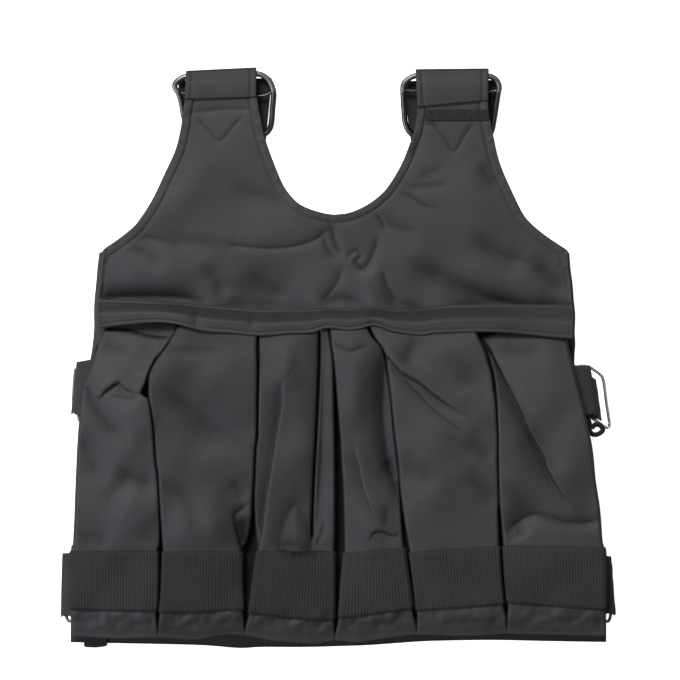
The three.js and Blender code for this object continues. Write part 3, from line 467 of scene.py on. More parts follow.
def fold_shapes(folds, x, y):
    """The height that folds add at points of the plan, and the shade painted along their creases."""
    total, shade = np.zeros_like(x), np.zeros_like(x)
    for fold in folds:
        path = smooth_path(plan(fold.path), 1.2 * MM)
        reach = fold.reach * MM
        far = fold.far * MM
        margin = max(6 * reach, 3 * far if fold.kind == "step" else 0)
        near = near_path(path, margin, x, y)
        if not near.any():
            continue
        d, s, length = from_path(path, x[near], y[near])
        fade = min(0.35 * length, 2.2 * reach + 3 * MM)
        ends = smoothstep(s, -0.3 * fade, fade) * smoothstep(length - s, -0.3 * fade, fade)
        # line is the painted shade along a fold: a dark band down a valley, crease or slot, or at the foot
        # of a step
        line = np.zeros_like(d)
        if fold.kind == "ridge":
            shape = fold.depth * np.exp(-((d / reach) ** 2))
        elif fold.kind in ("valley", "crease"):
            soft = 0.3 * reach if fold.kind == "valley" else CREASE_SOFT
            shape = -fold.depth * np.exp((soft - np.sqrt(d * d + soft * soft)) / reach)
            width = 0.7 * reach if fold.kind == "valley" else CREASE_WIDTH
            line = fold.dark * (0.5 if fold.kind == "valley" else 1) * np.exp(-((d / width) ** 2))
        elif fold.kind == "slot":
            shape = -fold.depth * np.exp(-((d / reach) ** 4))
            line = np.exp(-((d / (1.1 * reach)) ** 4))
        else:
            right = 0.5 * (1 + np.tanh(d / STEP_WIDTH))
            raised = fold.rise * np.exp(-((d / far) ** 2))
            shape = right * raised - (1 - right) * fold.depth * np.exp(-np.abs(d) / reach)
            foot = np.exp(-(((d + 0.5 * MM) / (1.0 * MM)) ** 2))
            line = fold.dark * np.maximum(foot, 0.5 * (1 - right) * np.exp(-np.abs(d) / (0.6 * reach)))
        total[near] += FOLD_DEPTH * shape * ends * MM
        shade[near] = np.maximum(shade[near], line * ends)
    return total, shade


def noise(x, y, size, seed, stretch=1.0, turn=0.0):
    """Smooth random heights from -1 to 1, in cells of one size, stretched along a direction."""
    table = np.random.default_rng(seed).uniform(-1, 1, (64, 64))
    c, s = math.cos(turn), math.sin(turn)
    u = (c * x + s * y) / (size * stretch) + 1000
    v = (c * y - s * x) / size + 1000
    i, j = np.floor(u).astype(int), np.floor(v).astype(int)
    fu, fv = u - i, v - j
    fu, fv = fu * fu * (3 - 2 * fu), fv * fv * (3 - 2 * fv)
    i0, i1, j0, j1 = i % 64, (i + 1) % 64, j % 64, (j + 1) % 64
    low = table[i0, j0] * (1 - fu) + table[i1, j0] * fu
    high = table[i0, j1] * (1 - fu) + table[i1, j1] * fu
    return low * (1 - fv) + high * fv


def grid_normals(points):
    """The directions that stand upright on a grid of points."""
    across = np.gradient(points, axis=1)
    up = np.gradient(points, axis=0)
    normal = np.cross(across, up)
    return normal / np.maximum(np.linalg.norm(normal, axis=-1, keepdims=True), 1e-12)


def sheet_faces(points, thickness, seam=None, lift=0.0, dark=None):
    """Vertices and quads of a closed sheet of cloth round a grid of points (rows, columns, 3).

    seam is (column, row), for a sheet that lies flat: the grid holds that column twice, and up to that row
    both are one. Lift moves the sheet off its points, and dark is the share of the light each point loses.
    """
    rows, columns, _ = points.shape
    index = np.arange(rows * columns).reshape(rows, columns)
    keep = np.ones((rows - 1, columns - 1), bool)
    thick = np.full((rows, columns), thickness / 2)
    thick[[0, -1], :] *= EDGE_SHARE
    thick[:, [0, -1]] *= EDGE_SHARE
    if seam is None:
        normals = grid_normals(points)
    else:
        column, row = seam
        normals = np.broadcast_to((0.0, 0.0, 1.0), points.shape)
        index[: row + 1, column + 1] = index[: row + 1, column]
        keep[:, column] = False
        thick[row:, column : column + 2] *= EDGE_SHARE
    corners = [index[:-1, :-1], index[:-1, 1:], index[1:, 1:], index[1:, :-1]]
    quads = np.stack(corners, -1)[keep]
    used, quads = np.unique(quads, return_inverse=True)
    quads = quads.reshape(-1, 4)
    count = len(used)
    middle = (points + normals * np.broadcast_to(lift, (rows, columns))[..., None]).reshape(-1, 3)[used]
    offset = (normals * thick[..., None]).reshape(-1, 3)[used]
    start = quads.ravel()
    end = np.roll(quads, -1, axis=1).ravel()
    rim = ~np.isin(start * count + end, end * count + start)
    start, end = start[rim], end[rim]
    sides = np.stack([count + start, count + end, end, start], -1)
    vertices = np.vstack([middle + offset, middle - offset])
    shade = None if dark is None else np.tile(np.asarray(dark).reshape(-1)[used], 2)
    return vertices, np.vstack([quads, quads[:, ::-1] + count, sides]), shade


def add_piece(name, cloth, material, node):
    """Adds a mesh: cloth is its vertices, its faces and the share of the light each vertex loses, painted as
    shade into its light colour attribute.
    """
    vertices, faces, shade = cloth
    mesh = bpy.data.meshes.new(name)
    mesh.from_pydata(vertices.tolist(), [], faces.tolist() if isinstance(faces, np.ndarray) else faces)
    # Painted shade: the light colour attribute darkens the material's colour at creases, hollows and
    # stitches
    light = np.ones(len(vertices)) if shade is None else 1 - np.clip(shade, 0, 1)
    colours = mesh.color_attributes.new("light", "FLOAT_COLOR", "POINT")
    colours.data.foreach_set("color", np.stack([light, light, light, np.ones_like(light)], -1).ravel())
    mesh.validate()
    mesh.polygons.foreach_set("use_smooth", [True] * len(mesh.polygons))
    mesh.materials.append(material)
    piece = bpy.data.objects.new(name, mesh)
    bpy.context.scene.collection.objects.link(piece)
    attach(piece, BODY)
    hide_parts(node)
    return piece


def paint_gap_shade(panel, lowest, highest):
    """Paints a panel near-black between two heights of the photograph, as painted shade in the gaps between
    the pockets.
    """
    panel.data.materials.append(PAINTED_GAP_SHADE)
    low, high = plan((0, lowest))[1], plan((0, highest))[1]
    for face in panel.data.polygons:
        if low < face.center.y < high and face.normal.z > -0.5:
            face.material_index = 1


def new_material(name):
    """A material with nodes, and its shader."""
    material = bpy.data.materials.new(name)
    material.use_nodes = True
    return material, material.node_tree.nodes["Principled BSDF"]


def add_node(material, kind, values=None, settings=None, **sources):
    """Adds a shader node with its settings, its inputs' values and the outputs that feed its inputs."""
    node = material.node_tree.nodes.new("ShaderNode" + kind)
    for name, value in (settings or {}).items():
        setattr(node, name, value)
    for socket, value in (values or {}).items():
        node.inputs[socket].default_value = value
    for socket, output in sources.items():
        material.node_tree.links.new(output, node.inputs[socket])
    return node


def uneven(material, shader, scale, detail, colors, stops, roughness):
    """Noise that runs through two colours and two roughnesses. Returns the tone and where points lie."""
    place = add_node(material, "TexCoord").outputs["Object"]
    patches = add_node(material, "TexNoise", {"Scale": scale, "Detail": detail}, Vector=place).outputs["Fac"]
    tone = add_node(material, "ValToRGB", Fac=patches)
    for stop, color, position in zip(tone.color_ramp.elements, colors, stops):
        stop.color = (*color, 1)
        stop.position = position
    limits = {"To Min": roughness[0], "To Max": roughness[1]}
    rough = add_node(material, "MapRange", limits, Value=patches)
    material.node_tree.links.new(rough.outputs["Result"], shader.inputs["Roughness"])
    return tone.outputs["Color"], place


# The metres after which a wave texture of scale 1 repeats, and how far roughness and colour vary
WAVE_LENGTH = 0.314159
ROUGHNESS_SPREAD = 0.07
COLOR_SPREAD = 0.12


def surface_material(name, color, roughness, weave, depth, gloss=0.3):
    """A procedural cloth: threads of one pitch both ways, uneven colour, a soft sheen and painted shade from
    the mesh's light attribute.
    """
    material, shader = new_material(name)
    shader.inputs["Specular IOR Level"].default_value = gloss
    colors = [[c * (1 - COLOR_SPREAD) for c in color], [c * (1 + COLOR_SPREAD) for c in color]]
    limits = (roughness - ROUGHNESS_SPREAD, roughness + ROUGHNESS_SPREAD)
    tone, place = uneven(material, shader, 22, 5, colors, (0.3, 0.7), limits)
    # Painted shade: the colour is multiplied by the mesh's light attribute, darker in creases, hollows and
    # stitches
    creases = add_node(material, "VertexColor", settings={"layer_name": "light"}).outputs["Color"]
    multiply = {"data_type": "RGBA", "blend_type": "MULTIPLY"}
    darker = add_node(material, "Mix", {"Factor": 1}, multiply, A=tone, B=creases)
    threads = []
    for direction in ("X", "Y"):
        values = {"Scale": WAVE_LENGTH / weave, "Distortion": 0.6, "Detail": 1}
        threads.append(add_node(material, "TexWave", values, {"bands_direction": direction}, Vector=place))
    both = add_node(material, "Math", settings={"operation": "MULTIPLY"})
    links = material.node_tree.links
    for socket, wave in enumerate(threads):
        links.new(wave.outputs["Fac"], both.inputs[socket])
    height = both.outputs["Value"]
    bump = add_node(material, "Bump", {"Strength": 0.5, "Distance": depth}, Height=height)
    links.new(darker.outputs["Result"], shader.inputs["Base Color"])
    links.new(bump.outputs["Normal"], shader.inputs["Normal"])
    return material


def metal_material(name, color, roughness):
    """A procedural metal, a little darker and smoother or rougher in patches."""
    material, shader = new_material(name)
    shader.inputs["Metallic"].default_value = 1
    colors = [[c * 0.85 for c in color], color]
    tone, _ = uneven(material, shader, 60, 6, colors, (0, 1), (roughness * 0.7, roughness * 1.4))
    material.node_tree.links.new(tone, shader.inputs["Base Color"])
    return material


RISE_CURVE = smooth_path(list(zip(RISE_UP, RISE)), 0.01)
CLOTH = surface_material("vest cloth", (0.03, 0.0303, 0.032), 0.6, 0.45 * MM, 0.08 * MM)
ELASTIC = surface_material("ribbed elastic", (0.027, 0.0275, 0.0272), 0.8, 0.6 * MM, 0.12 * MM, gloss=0.15)
WEBBING = surface_material("webbing", (0.035, 0.0355, 0.036), 0.75, 0.8 * MM, 0.2 * MM, gloss=0.2)
DARK = surface_material("dark webbing", (0.03, 0.0295, 0.029), 0.9, 0.8 * MM, 0.2 * MM, gloss=0.1)
# The vest cloth painted darker: painted shade over the flap and the shoulder straps
CLOTH_PAINTED_DARKER = surface_material("cloth painted darker", (0.0245, 0.0247, 0.026), 0.6, 0.45 * MM, 0.08 * MM)
# The vest cloth painted lighter: painted light for the back panel where it lies in the front panel's shadow
BACK_CLOTH_PAINTED_LIGHTER = surface_material("back cloth painted lighter", (0.038, 0.038, 0.039), 0.7, 0.45 * MM, 0.08 * MM)
# Near-black cloth colour: painted shade for the panel in the gaps between the pockets
PAINTED_GAP_SHADE = surface_material("painted gap shade", (0.016, 0.016, 0.0155), 0.95, 0.8 * MM, 0.2 * MM, gloss=0.05)
TAPE = surface_material("hook tape", (0.026, 0.028, 0.026), 0.85, 0.7 * MM, 0.3 * MM, gloss=0.1)
GUNMETAL = metal_material("gunmetal", (0.09, 0.09, 0.09), 0.34)
# A lighter copy of the gunmetal, as a painted reflection on the shoulder rings' upper arcs; the side rings
# below their straps are wholly of it
GUNMETAL_PAINTED_LIGHT = metal_material("gunmetal painted lighter", (0.19, 0.2, 0.2), 0.42)
CHROME = metal_material("chrome", (0.8, 0.81, 0.82), 0.1)


def hem_effect(x, y, path, width, groove=0.9, puffed=0.5, pucker=0.35):
    """A turned and stitched hem along an edge: a flat roll, small puckers and a groove at the stitches, with
    shade painted along the stitches.
    """
    d, s, _ = from_path(path, x, y)
    d = np.abs(d)
    inside = smoothstep(width - d, -1.0 * MM, 1.2 * MM)
    stitched = np.exp(-np.abs(d - width) / (0.9 * MM))
    waves = noise(s, d * 0.3, 3.2 * MM, 11) * np.minimum(d / (2 * MM), 1)
    # Painted shade along the stitches, in dots of the stitch length
    shade = 0.3 * stitched * (0.7 + 0.3 * np.cos(2 * np.pi * s / (3.2 * MM)))
    return (puffed * inside + pucker * inside * waves - groove * stitched) * MM, shade


ARMHOLE_LEFT = smooth_path(plan(PANEL_LEFT[:13]), 1.5 * MM)
ARMHOLE_RIGHT = smooth_path(plan(PANEL_RIGHT[:12]), 1.5 * MM)
SCOOP = smooth_path(plan(NECK_LEFT + NECK_RIGHT[-2::-1]), 1.5 * MM)
SIDE_LEFT = smooth_path(plan(PANEL_LEFT[12:19]), 1.5 * MM)
SIDE_RIGHT = smooth_path(plan(PANEL_RIGHT[11:19]), 1.5 * MM)
HEMS = [
    (ARMHOLE_LEFT, 7.0 * MM),
    (ARMHOLE_RIGHT, 6.4 * MM),
    (SCOOP, 6.2 * MM),
    (SIDE_LEFT, 3.0 * MM),
    (SIDE_RIGHT, 3.0 * MM),
]


def bib_height(x, y):
    """The height of the front panel's upper face, and the shade painted into its creases and along its hem
    stitches.
    """
    folds, shade = fold_shapes(BIB_FOLDS, x, y)
    z = PANEL_Z + PANEL_THICKNESS / 2 + folds
    shoulder = plan((0, HEM_PY))[1] + 412 * MM
    z += SHOULDER_LIFT * smoothstep(y, shoulder - 50 * MM, shoulder)
    for path, width in HEMS:
        near = near_path(path, 12 * MM, x, y)
        if near.any():
            relief, groove = hem_effect(x[near], y[near], path, width)
            z[near] += relief
            # groove is the painted shade along the hem's stitches
            shade[near] = np.maximum(shade[near], groove)
    z += 0.8 * MM * noise(x, y, 36 * MM, 3, 1.8, 0.5)
    z += 0.3 * MM * noise(x, y, 12 * MM, 4, 2.2, -0.4)
    return z, shade


def panel_grid(rows, sides, neck, neck_low, half, hem, hem_py, fade):
    """A panel's grid of pixels in two halves that meet below the neck, and the seam between them."""
    left, right = sides
    neck_left, neck_right = neck
    below = rows >= neck_low
    neck_left[below] = neck_right[below] = NECK_LOW[0]
    share = np.linspace(0, 1, half + 1)
    halves = [(left, neck_left), (neck_right, right)]
    px = np.concatenate([start[:, None] + (end - start)[:, None] * share for start, end in halves], axis=1)
    py = np.broadcast_to(rows[:, None], px.shape).copy()
    py += (edge_at(hem, px, 0) - hem_py) * np.exp(-(hem_py - py) / fade)
    return px, py, (half, int(below.sum()) - 1)


def make_front_panel():
    """The bib and the part under the pockets, with more rows where it shows."""
    shoulder_top = 97
    low_rows = np.concatenate([np.linspace(HEM_PY, 345, 16), np.linspace(342, NECK_LOW[1], 100)])
    scoop_rows = NECK_LOW[1] - np.linspace(1.0, NECK_LOW[1] - shoulder_top, 84)
    rows = np.concatenate([low_rows, scoop_rows])
    sides = edge_at(PANEL_LEFT, rows), edge_at(PANEL_RIGHT, rows)
    neck = edge_at(NECK_LEFT, rows), edge_at(NECK_RIGHT, rows)
    px, py, seam = panel_grid(rows, sides, neck, NECK_LOW[1], 122, HEM_EDGE, HEM_PY, fade=14)
    x, y = plan_xy(px, py)
    top, shade = bib_height(x, y)
    points = seen_there(np.stack([x, y, top - PANEL_THICKNESS / 2], -1))
    cloth = sheet_faces(points, PANEL_THICKNESS, seam, dark=shade)
    panel = add_piece("front_panel_cloth", cloth, CLOTH, "front_panel")
    # The panel under the pockets gets near-black painted shade where it shows between them
    paint_gap_shade(panel, 632, 348)


def make_back_panel():
    """The panel on the floor: wider than the front one below the arms, and narrower above. Its cloth is
    painted lighter, as painted light, and it has painted shade where it shows under the front hem.
    """
    wider, narrower, neck_margin = 3.4, -4.0, 4
    arm_py, flap_py = 250, 350
    hem_rows, bib_rows = np.linspace(BACK_HEM_PY, 345, 36), np.linspace(338, 220, 26)
    rows = np.concatenate([hem_rows, bib_rows, np.linspace(217, 150, 20)])
    under_arm = rows < arm_py
    margin = np.where(under_arm, narrower, wider)
    tucked = 2.2 * smoothstep(flap_py - rows, 0, 20) * ~under_arm
    right = edge_at(PANEL_RIGHT, rows) + margin - tucked
    sides = edge_at(PANEL_LEFT, rows) - margin, right
    neck_rows = rows - neck_margin
    neck = edge_at(NECK_LEFT, neck_rows) - neck_margin, edge_at(NECK_RIGHT, neck_rows) + neck_margin
    px, py, seam = panel_grid(rows, sides, neck, 219.0, 40, BACK_HEM_EDGE, BACK_HEM_PY, fade=10)
    x, y = plan_xy(px, py)
    outer = smoothstep(px - right[:, None], -14, -1)
    outer = outer * smoothstep(py, 235, 262) * smoothstep(flap_py - py, 0, 20)
    z = BACK_THICKNESS / 2 + 0.1 * MM + 6 * MM * outer
    # Painted shade where the back panel shows below the front hem
    shade_under_hem = 0.55 * smoothstep(py, 626, 634)
    cloth = sheet_faces(seen_there(np.stack([x, y, z], -1)), BACK_THICKNESS, seam, dark=shade_under_hem)
    # The back panel gets the cloth painted lighter, as painted light
    panel = add_piece("back_panel_cloth", cloth, BACK_CLOTH_PAINTED_LIGHTER, "back_panel")


def closing(row):
    """How far in pixels a pocket's rounded edge reaches into the gap above the bands."""
    return min(0.8, 0.3 * (row[2] - row[1])) if row[0] < 552 else 0


def pocket_points(index, u, t):
    """Points of a pocket's cloth and the shade painted on them: u runs from the left foot over the front to
    the right foot, and t up.

    u from 0 to 1 is the left wall, 1 to 2 the front and 2 to 3 the right wall.
    """
    mouth = POCKET_MOUTHS[index]
    mouth_py = np.mean([point[1] for point in mouth])
    py = HEM_PY + t * (mouth_py - HEM_PY)
    left_line = [(row[2] - closing(row), row[0]) for row in POCKET_LINES[index]]
    right_line = [(row[1] + closing(row), row[0]) for row in POCKET_LINES[index + 1]]
    left = (edge_at(left_line, py) - ORIGIN_PX[0]) * PIXEL
    right = (edge_at(right_line, py) - ORIGIN_PX[0]) * PIXEL
    height = np.interp(t, *RISE_CURVE.T) * POCKET_DEPTH
    if index in FLAT_MOUTHS:
        height = height * (1 - 0.4 * smoothstep(t, 0.7, 1))
    corner = np.minimum(1.5 * MM, 0.3 * height + 0.4 * MM)
    angle_left = np.clip(u, 0, 1) * math.pi / 2
    angle_right = np.clip(3 - u, 0, 1) * math.pi / 2
    across = np.clip(u - 1, 0, 1)
    front = left + corner + across * (right - left - 2 * corner)
    x = np.where(u < 1, left + corner * (1 - np.cos(angle_left)), front)
    x = np.where(u > 2, right - corner * (1 - np.cos(angle_right)), x)
    section = np.where(u < 1, np.sin(angle_left), np.where(u > 2, np.sin(angle_right), 1.0))
    px = x / PIXEL + ORIGIN_PX[0]
    py = py + (edge_at(HEM_EDGE, px, 0) - HEM_PY) * (1 - t) ** 14
    py = py + (edge_at(mouth, px, 0) - mouth_py) * t**6
    y = (ORIGIN_PX[1] - py) * PIXEL
    folds, shade = fold_shapes(POCKET_FOLDS[index], x, y)
    slack = 1.5 * MM * noise(x, y, 24 * MM, 20 + index, 1.6, 0.9)
    slack += 0.35 * MM * noise(x, y, 9 * MM, 40 + index, 1.8, -0.7)
    hem_at, hem_width = 0.055, 0.035
    puckers = 2.0 * MM * noise(x, y, 9 * MM, 60 + index, 0.9)
    puckers += 0.8 * MM * noise(x, y, 4.5 * MM, 80 + index)
    slack += np.exp(-(((t - hem_at) / hem_width) ** 2)) * puckers
    crown = 1.2 * MM * np.sin(np.pi * across) * np.where((u > 1) & (u < 2), 1, 0)
    weight = section * np.minimum(1, height / (6 * MM))
    z = SEAT + POCKET_THICKNESS / 2 + height * section + (folds + slack + crown) * weight
    z = np.maximum(z, SEAT + POCKET_THICKNESS / 2)
    # Painted shade: darker down the walls, each pocket dimmed as a whole, and darker at the top under the
    # flap
    wall_shade = 0.7 * smoothstep(1 - section, 0.45, 1) * np.minimum(1, height / (7 * MM))
    dimming_shade = POCKET_SHADE[index] + 0.25 * smoothstep(t, 0.9, 1)
    return np.stack([x, y, z], -1), np.maximum(shade, wall_shade) + dimming_shade * (1 - shade)


# The height that the bands were cut to, and the ribs of the elastic
BAND_CUT = 0.047
RIB_PITCH = 2.3 * MM
RIB_HEIGHT = 0.42 * MM


def make_pocket(index):
    """A slack pouch: two rounded walls and a front in one sheet."""
    walls = np.linspace(0, 1, 7)
    front = np.linspace(1, 2, 72)[1:-1]
    u = np.concatenate([walls, front, walls + 2])
    t = np.concatenate([np.linspace(0, 0.1, 22)[:-1], np.linspace(0.1, 1, 170)])
    u, t = np.meshgrid(u, t)
    points, shade = pocket_points(index, u, t)
    cloth = sheet_faces(seen_there(points), POCKET_THICKNESS, dark=shade)
    node = f"pocket_{index + 1}"
    pocket = add_piece(f"{node}_cloth", cloth, CLOTH, node)


def make_band(index):
    """The ribbed elastic over a pocket's foot."""
    upper_left, upper_right, lower_left, lower_right = BANDS[index]
    mouth_py = np.mean([point[1] for point in POCKET_MOUTHS[index]])
    walls = np.linspace(0.35, 1, 10)
    front = np.linspace(1, 2, 240)[1:-1]
    u = np.concatenate([walls, front, 3 - walls[::-1]])
    rows = 18
    u, v = np.meshgrid(u, np.linspace(0, 1, rows))
    across = np.clip(u - 1, 0, 1)
    upper = upper_left + (upper_right - upper_left) * across
    lower = lower_left + (lower_right - lower_left) * across
    py = lower + (upper - lower) * v
    t = (HEM_PY - py) / (HEM_PY - mouth_py)
    points, shade = pocket_points(index, u, t)
    along = np.cumsum(np.linalg.norm(np.diff(points[rows // 2], axis=0), axis=1))
    along = np.concatenate([[0], along])[None, :]
    rib = np.abs(np.cos(np.pi * along / RIB_PITCH))
    patchy = 0.5 + 0.5 * noise(along * np.ones_like(v), v * BAND_CUT, 14 * MM, 30 + index)
    # Painted shade in the grooves between the ribs, patchy along the band
    shade = np.maximum(shade, (1 - rib) ** 3 * (0.25 + 0.3 * patchy))
    on_pocket = POCKET_THICKNESS / 2 + CLEAR / 2 + BAND_THICKNESS / 2
    lift = on_pocket + RIB_HEIGHT * rib * (0.6 + 0.4 * patchy)
    cloth = sheet_faces(seen_there(points), BAND_THICKNESS, lift=lift, dark=shade)
    node = f"elastic_band_{index + 1}"
    band = add_piece(f"{node}_ribbed", cloth, ELASTIC, node)


def make_flap():
    """The strip over the pocket mouths: sewn down along its top, and free and topstitched below."""
    px, v = np.meshgrid(np.linspace(*FLAP_ENDS, 330), np.linspace(0, 1, 28))
    top, low = edge_at(FLAP_TOP, px, 0), edge_at(FLAP_LOW, px, 0)
    py = low + (top - low) * v
    x, y = plan_xy(px, py)
    low_ends = 0.3 * (1 - smoothstep(px, 140, 190) + smoothstep(px, 465, 540))
    mouth = (RISE[-1] * POCKET_DEPTH + POCKET_THICKNESS) * (1 - low_ends) + 1.2 * MM
    free = smoothstep(1 - v, 0.0, 0.6)
    z = SEAT + FLAP_THICKNESS / 2 + 0.5 * MM + free * mouth
    folds, shade = fold_shapes(FLAP_FOLDS, x, y)
    z += folds
    z += 0.5 * MM * noise(x, y, 26 * MM, 91) * free
    rim = np.minimum.reduce([py - top, low - py, px - FLAP_ENDS[0], FLAP_ENDS[1] - px])
    stitched = np.exp(-(((rim - FLAP_SEAM) / FLAP_SEAM_WIDTH) ** 2))
    z += (0.35 * smoothstep(FLAP_SEAM - rim, 0, 1.2) - 0.4 * stitched) * MM
    # Painted shade along the seam's groove
    shade = np.maximum(shade, 0.3 * stitched)
    cloth = sheet_faces(seen_there(np.stack([x, y, z], -1)), FLAP_THICKNESS, dark=shade)
    # The flap gets the cloth painted darker, as painted shade
    flap = add_piece("pocket_flap_cloth", cloth, CLOTH_PAINTED_DARKER, "pocket_flap")


def ribbon(path, width, columns=24):
    """A grid of points for a strap: path is its side view as (along, height), and width its breadth."""
    path = smooth_path(path, 0.8 * MM)
    across = np.linspace(-width / 2, width / 2, columns)
    across, along = np.meshgrid(across, path[:, 0])
    height = np.broadcast_to(path[:, 1][:, None], along.shape)
    return np.stack([across, along, height], -1)


def arc(centre, radius, start, end, steps):
    """Points (along, height) round a bar, between two angles."""
    angles = np.radians(np.linspace(start, end, steps))
    return [(centre[0] + radius * math.cos(a), centre[1] + radius * math.sin(a)) for a in angles]


class Shoulder(NamedTuple):
    """Places of the photograph: corners of the folded strap and of the black loop, and the ring's wire.

    Corners run from the upper left one round to the lower left one. Bar is the wire's middle bar.
    """

    strap: list
    loop: list
    ring: list
    bar: list


SHOULDERS = {
    "left": Shoulder(
        strap=[(186, 70.6), (256.5, 67.2), (256.4, 97), (184.8, 99)],
        loop=[(177.5, 80), (272, 78), (266.5, 134), (184, 131)],
        ring=[
            (192, 75.5), (182.5, 77.6), (176, 82.5), (175, 87.5), (178.6, 93.5), (181.4, 103), (184, 117),
            (189, 128), (200, 133), (225, 136), (250, 137), (261, 135.5), (267.8, 131.4), (271.2, 124),
            (272.6, 108), (273.6, 93), (270.6, 83), (265.4, 77.2), (256, 73.8), (230, 74),
        ],
        bar=[(179, 93), (200, 94.5), (258, 96), (272.5, 92)],
    ),
    "right": Shoulder(
        strap=[(415.4, 69), (488.8, 68.4), (488.3, 100.2), (417.5, 106.8)],
        loop=[(402, 81), (499, 80), (491, 131), (410, 134)],
        ring=[
            (430, 75.4), (416, 75.8), (409, 78.6), (404.2, 83.4), (402.9, 90), (403.9, 109), (405.2, 122.5),
            (408.6, 130.4), (415, 136), (430, 138), (455, 138.5), (478, 138), (488, 136), (491.8, 130),
            (493.5, 122), (495.8, 108), (498.2, 92.5), (499.2, 86.5), (497, 81), (493, 77.6), (486, 75.8),
            (460, 75),
        ],
        bar=[(403.5, 90), (420, 91), (488, 91.5), (498, 90)],
    ),
}
SHOULDER_RING_WIRE = 4.4 * MM
MIDDLE_BAR_WIRE = 2.4 * MM
SHOULDER_RING_SLOPE = math.tan(math.radians(5.5))
# The row of the photograph above which the shoulder rings' wire gets the painted reflection
SHOULDER_RING_REFLECTION_PY = 92


def on_corners(corners, path, columns):
    """A strap's grid between four corners of the photograph, with its side view as (share down, height)."""
    path = smooth_path(path, 0.02)
    upper_left, upper_right, lower_right, lower_left = np.asarray(corners, float)
    across = np.linspace(0, 1, columns)[None, :, None]
    down = path[:, 0][:, None, None]
    left = upper_left + (lower_left - upper_left) * down
    right = upper_right + (lower_right - upper_right) * down
    place = plan(left + (right - left) * across)
    height = np.broadcast_to(path[:, 1][:, None, None], (*place.shape[:2], 1))
    return np.concatenate([place, height], -1)


def tube(path, radius, sides=12, closed=False):
    """Vertices and faces of a round wire along a path that lies nearly flat."""
    after = np.roll(path, -1, 0)
    before = np.roll(path, 1, 0)
    if not closed:
        after[-1], before[0] = path[-1], path[0]
    tangent = after - before
    tangent /= np.linalg.norm(tangent, axis=1, keepdims=True)
    side = np.cross(tangent, (0, 0, 1))
    side /= np.linalg.norm(side, axis=1, keepdims=True)
    up = np.cross(side, tangent)
    angle = np.linspace(0, 2 * np.pi, sides, endpoint=False)[None, :, None]
    rings = path[:, None] + radius * (np.cos(angle) * side[:, None] + np.sin(angle) * up[:, None])
    count = len(path)
    index = np.arange(count * sides).reshape(count, sides)
    if closed:
        index = np.vstack([index, index[:1]])
    around = np.roll(index, -1, 1)
    faces = np.stack([index[:-1], around[:-1], around[1:], index[1:]], -1).reshape(-1, 4).tolist()
    if not closed:
        faces += [index[0][::-1].tolist(), index[-1].tolist()]
    return rings.reshape(-1, 3), faces


def joined(parts):
    """The vertices and faces of several meshes as those of one."""
    vertices, faces, start = [], [], 0
    for part_vertices, part_faces in parts:
        vertices.append(part_vertices)
        faces += [[start + corner for corner in face] for face in part_faces]
        start += len(part_vertices)
    return np.vstack(vertices), faces


def make_shoulder_ring(side, top_z):
    """The gunmetal ring: one wire bent to a round-cornered frame, and a thin bar across it. The wire above
    the middle bar is painted lighter, as a painted reflection.
    """
    shoulder = SHOULDERS[side]
    ring = smooth_path([*shoulder.ring, shoulder.ring[0]], 1.0)[:-1]
    top = min(point[1] for point in shoulder.ring)

    def laid(points):
        """The ring's slope, falling from its top bar."""
        height = top_z - (points[:, 1] - top) * PIXEL * SHOULDER_RING_SLOPE
        return seen_there(np.column_stack([plan(points), height]))

    wire = tube(laid(ring), SHOULDER_RING_WIRE / 2, closed=True)
    bar = tube(laid(smooth_path(shoulder.bar, 2.0)), MIDDLE_BAR_WIRE / 2)
    node = f"shoulder_ring_{side}"
    vertices, faces = joined([wire, bar])
    piece = add_piece(f"{node}_wire", (vertices, faces, None), GUNMETAL, node)
    # The wire above that row gets the gunmetal painted lighter, as a painted reflection
    piece.data.materials.append(GUNMETAL_PAINTED_LIGHT)
    reflection_edge = plan((0, SHOULDER_RING_REFLECTION_PY))[1]
    for face in piece.data.polygons:
        face.material_index = int(face.center.y > reflection_edge and face.index < len(wire[1]))


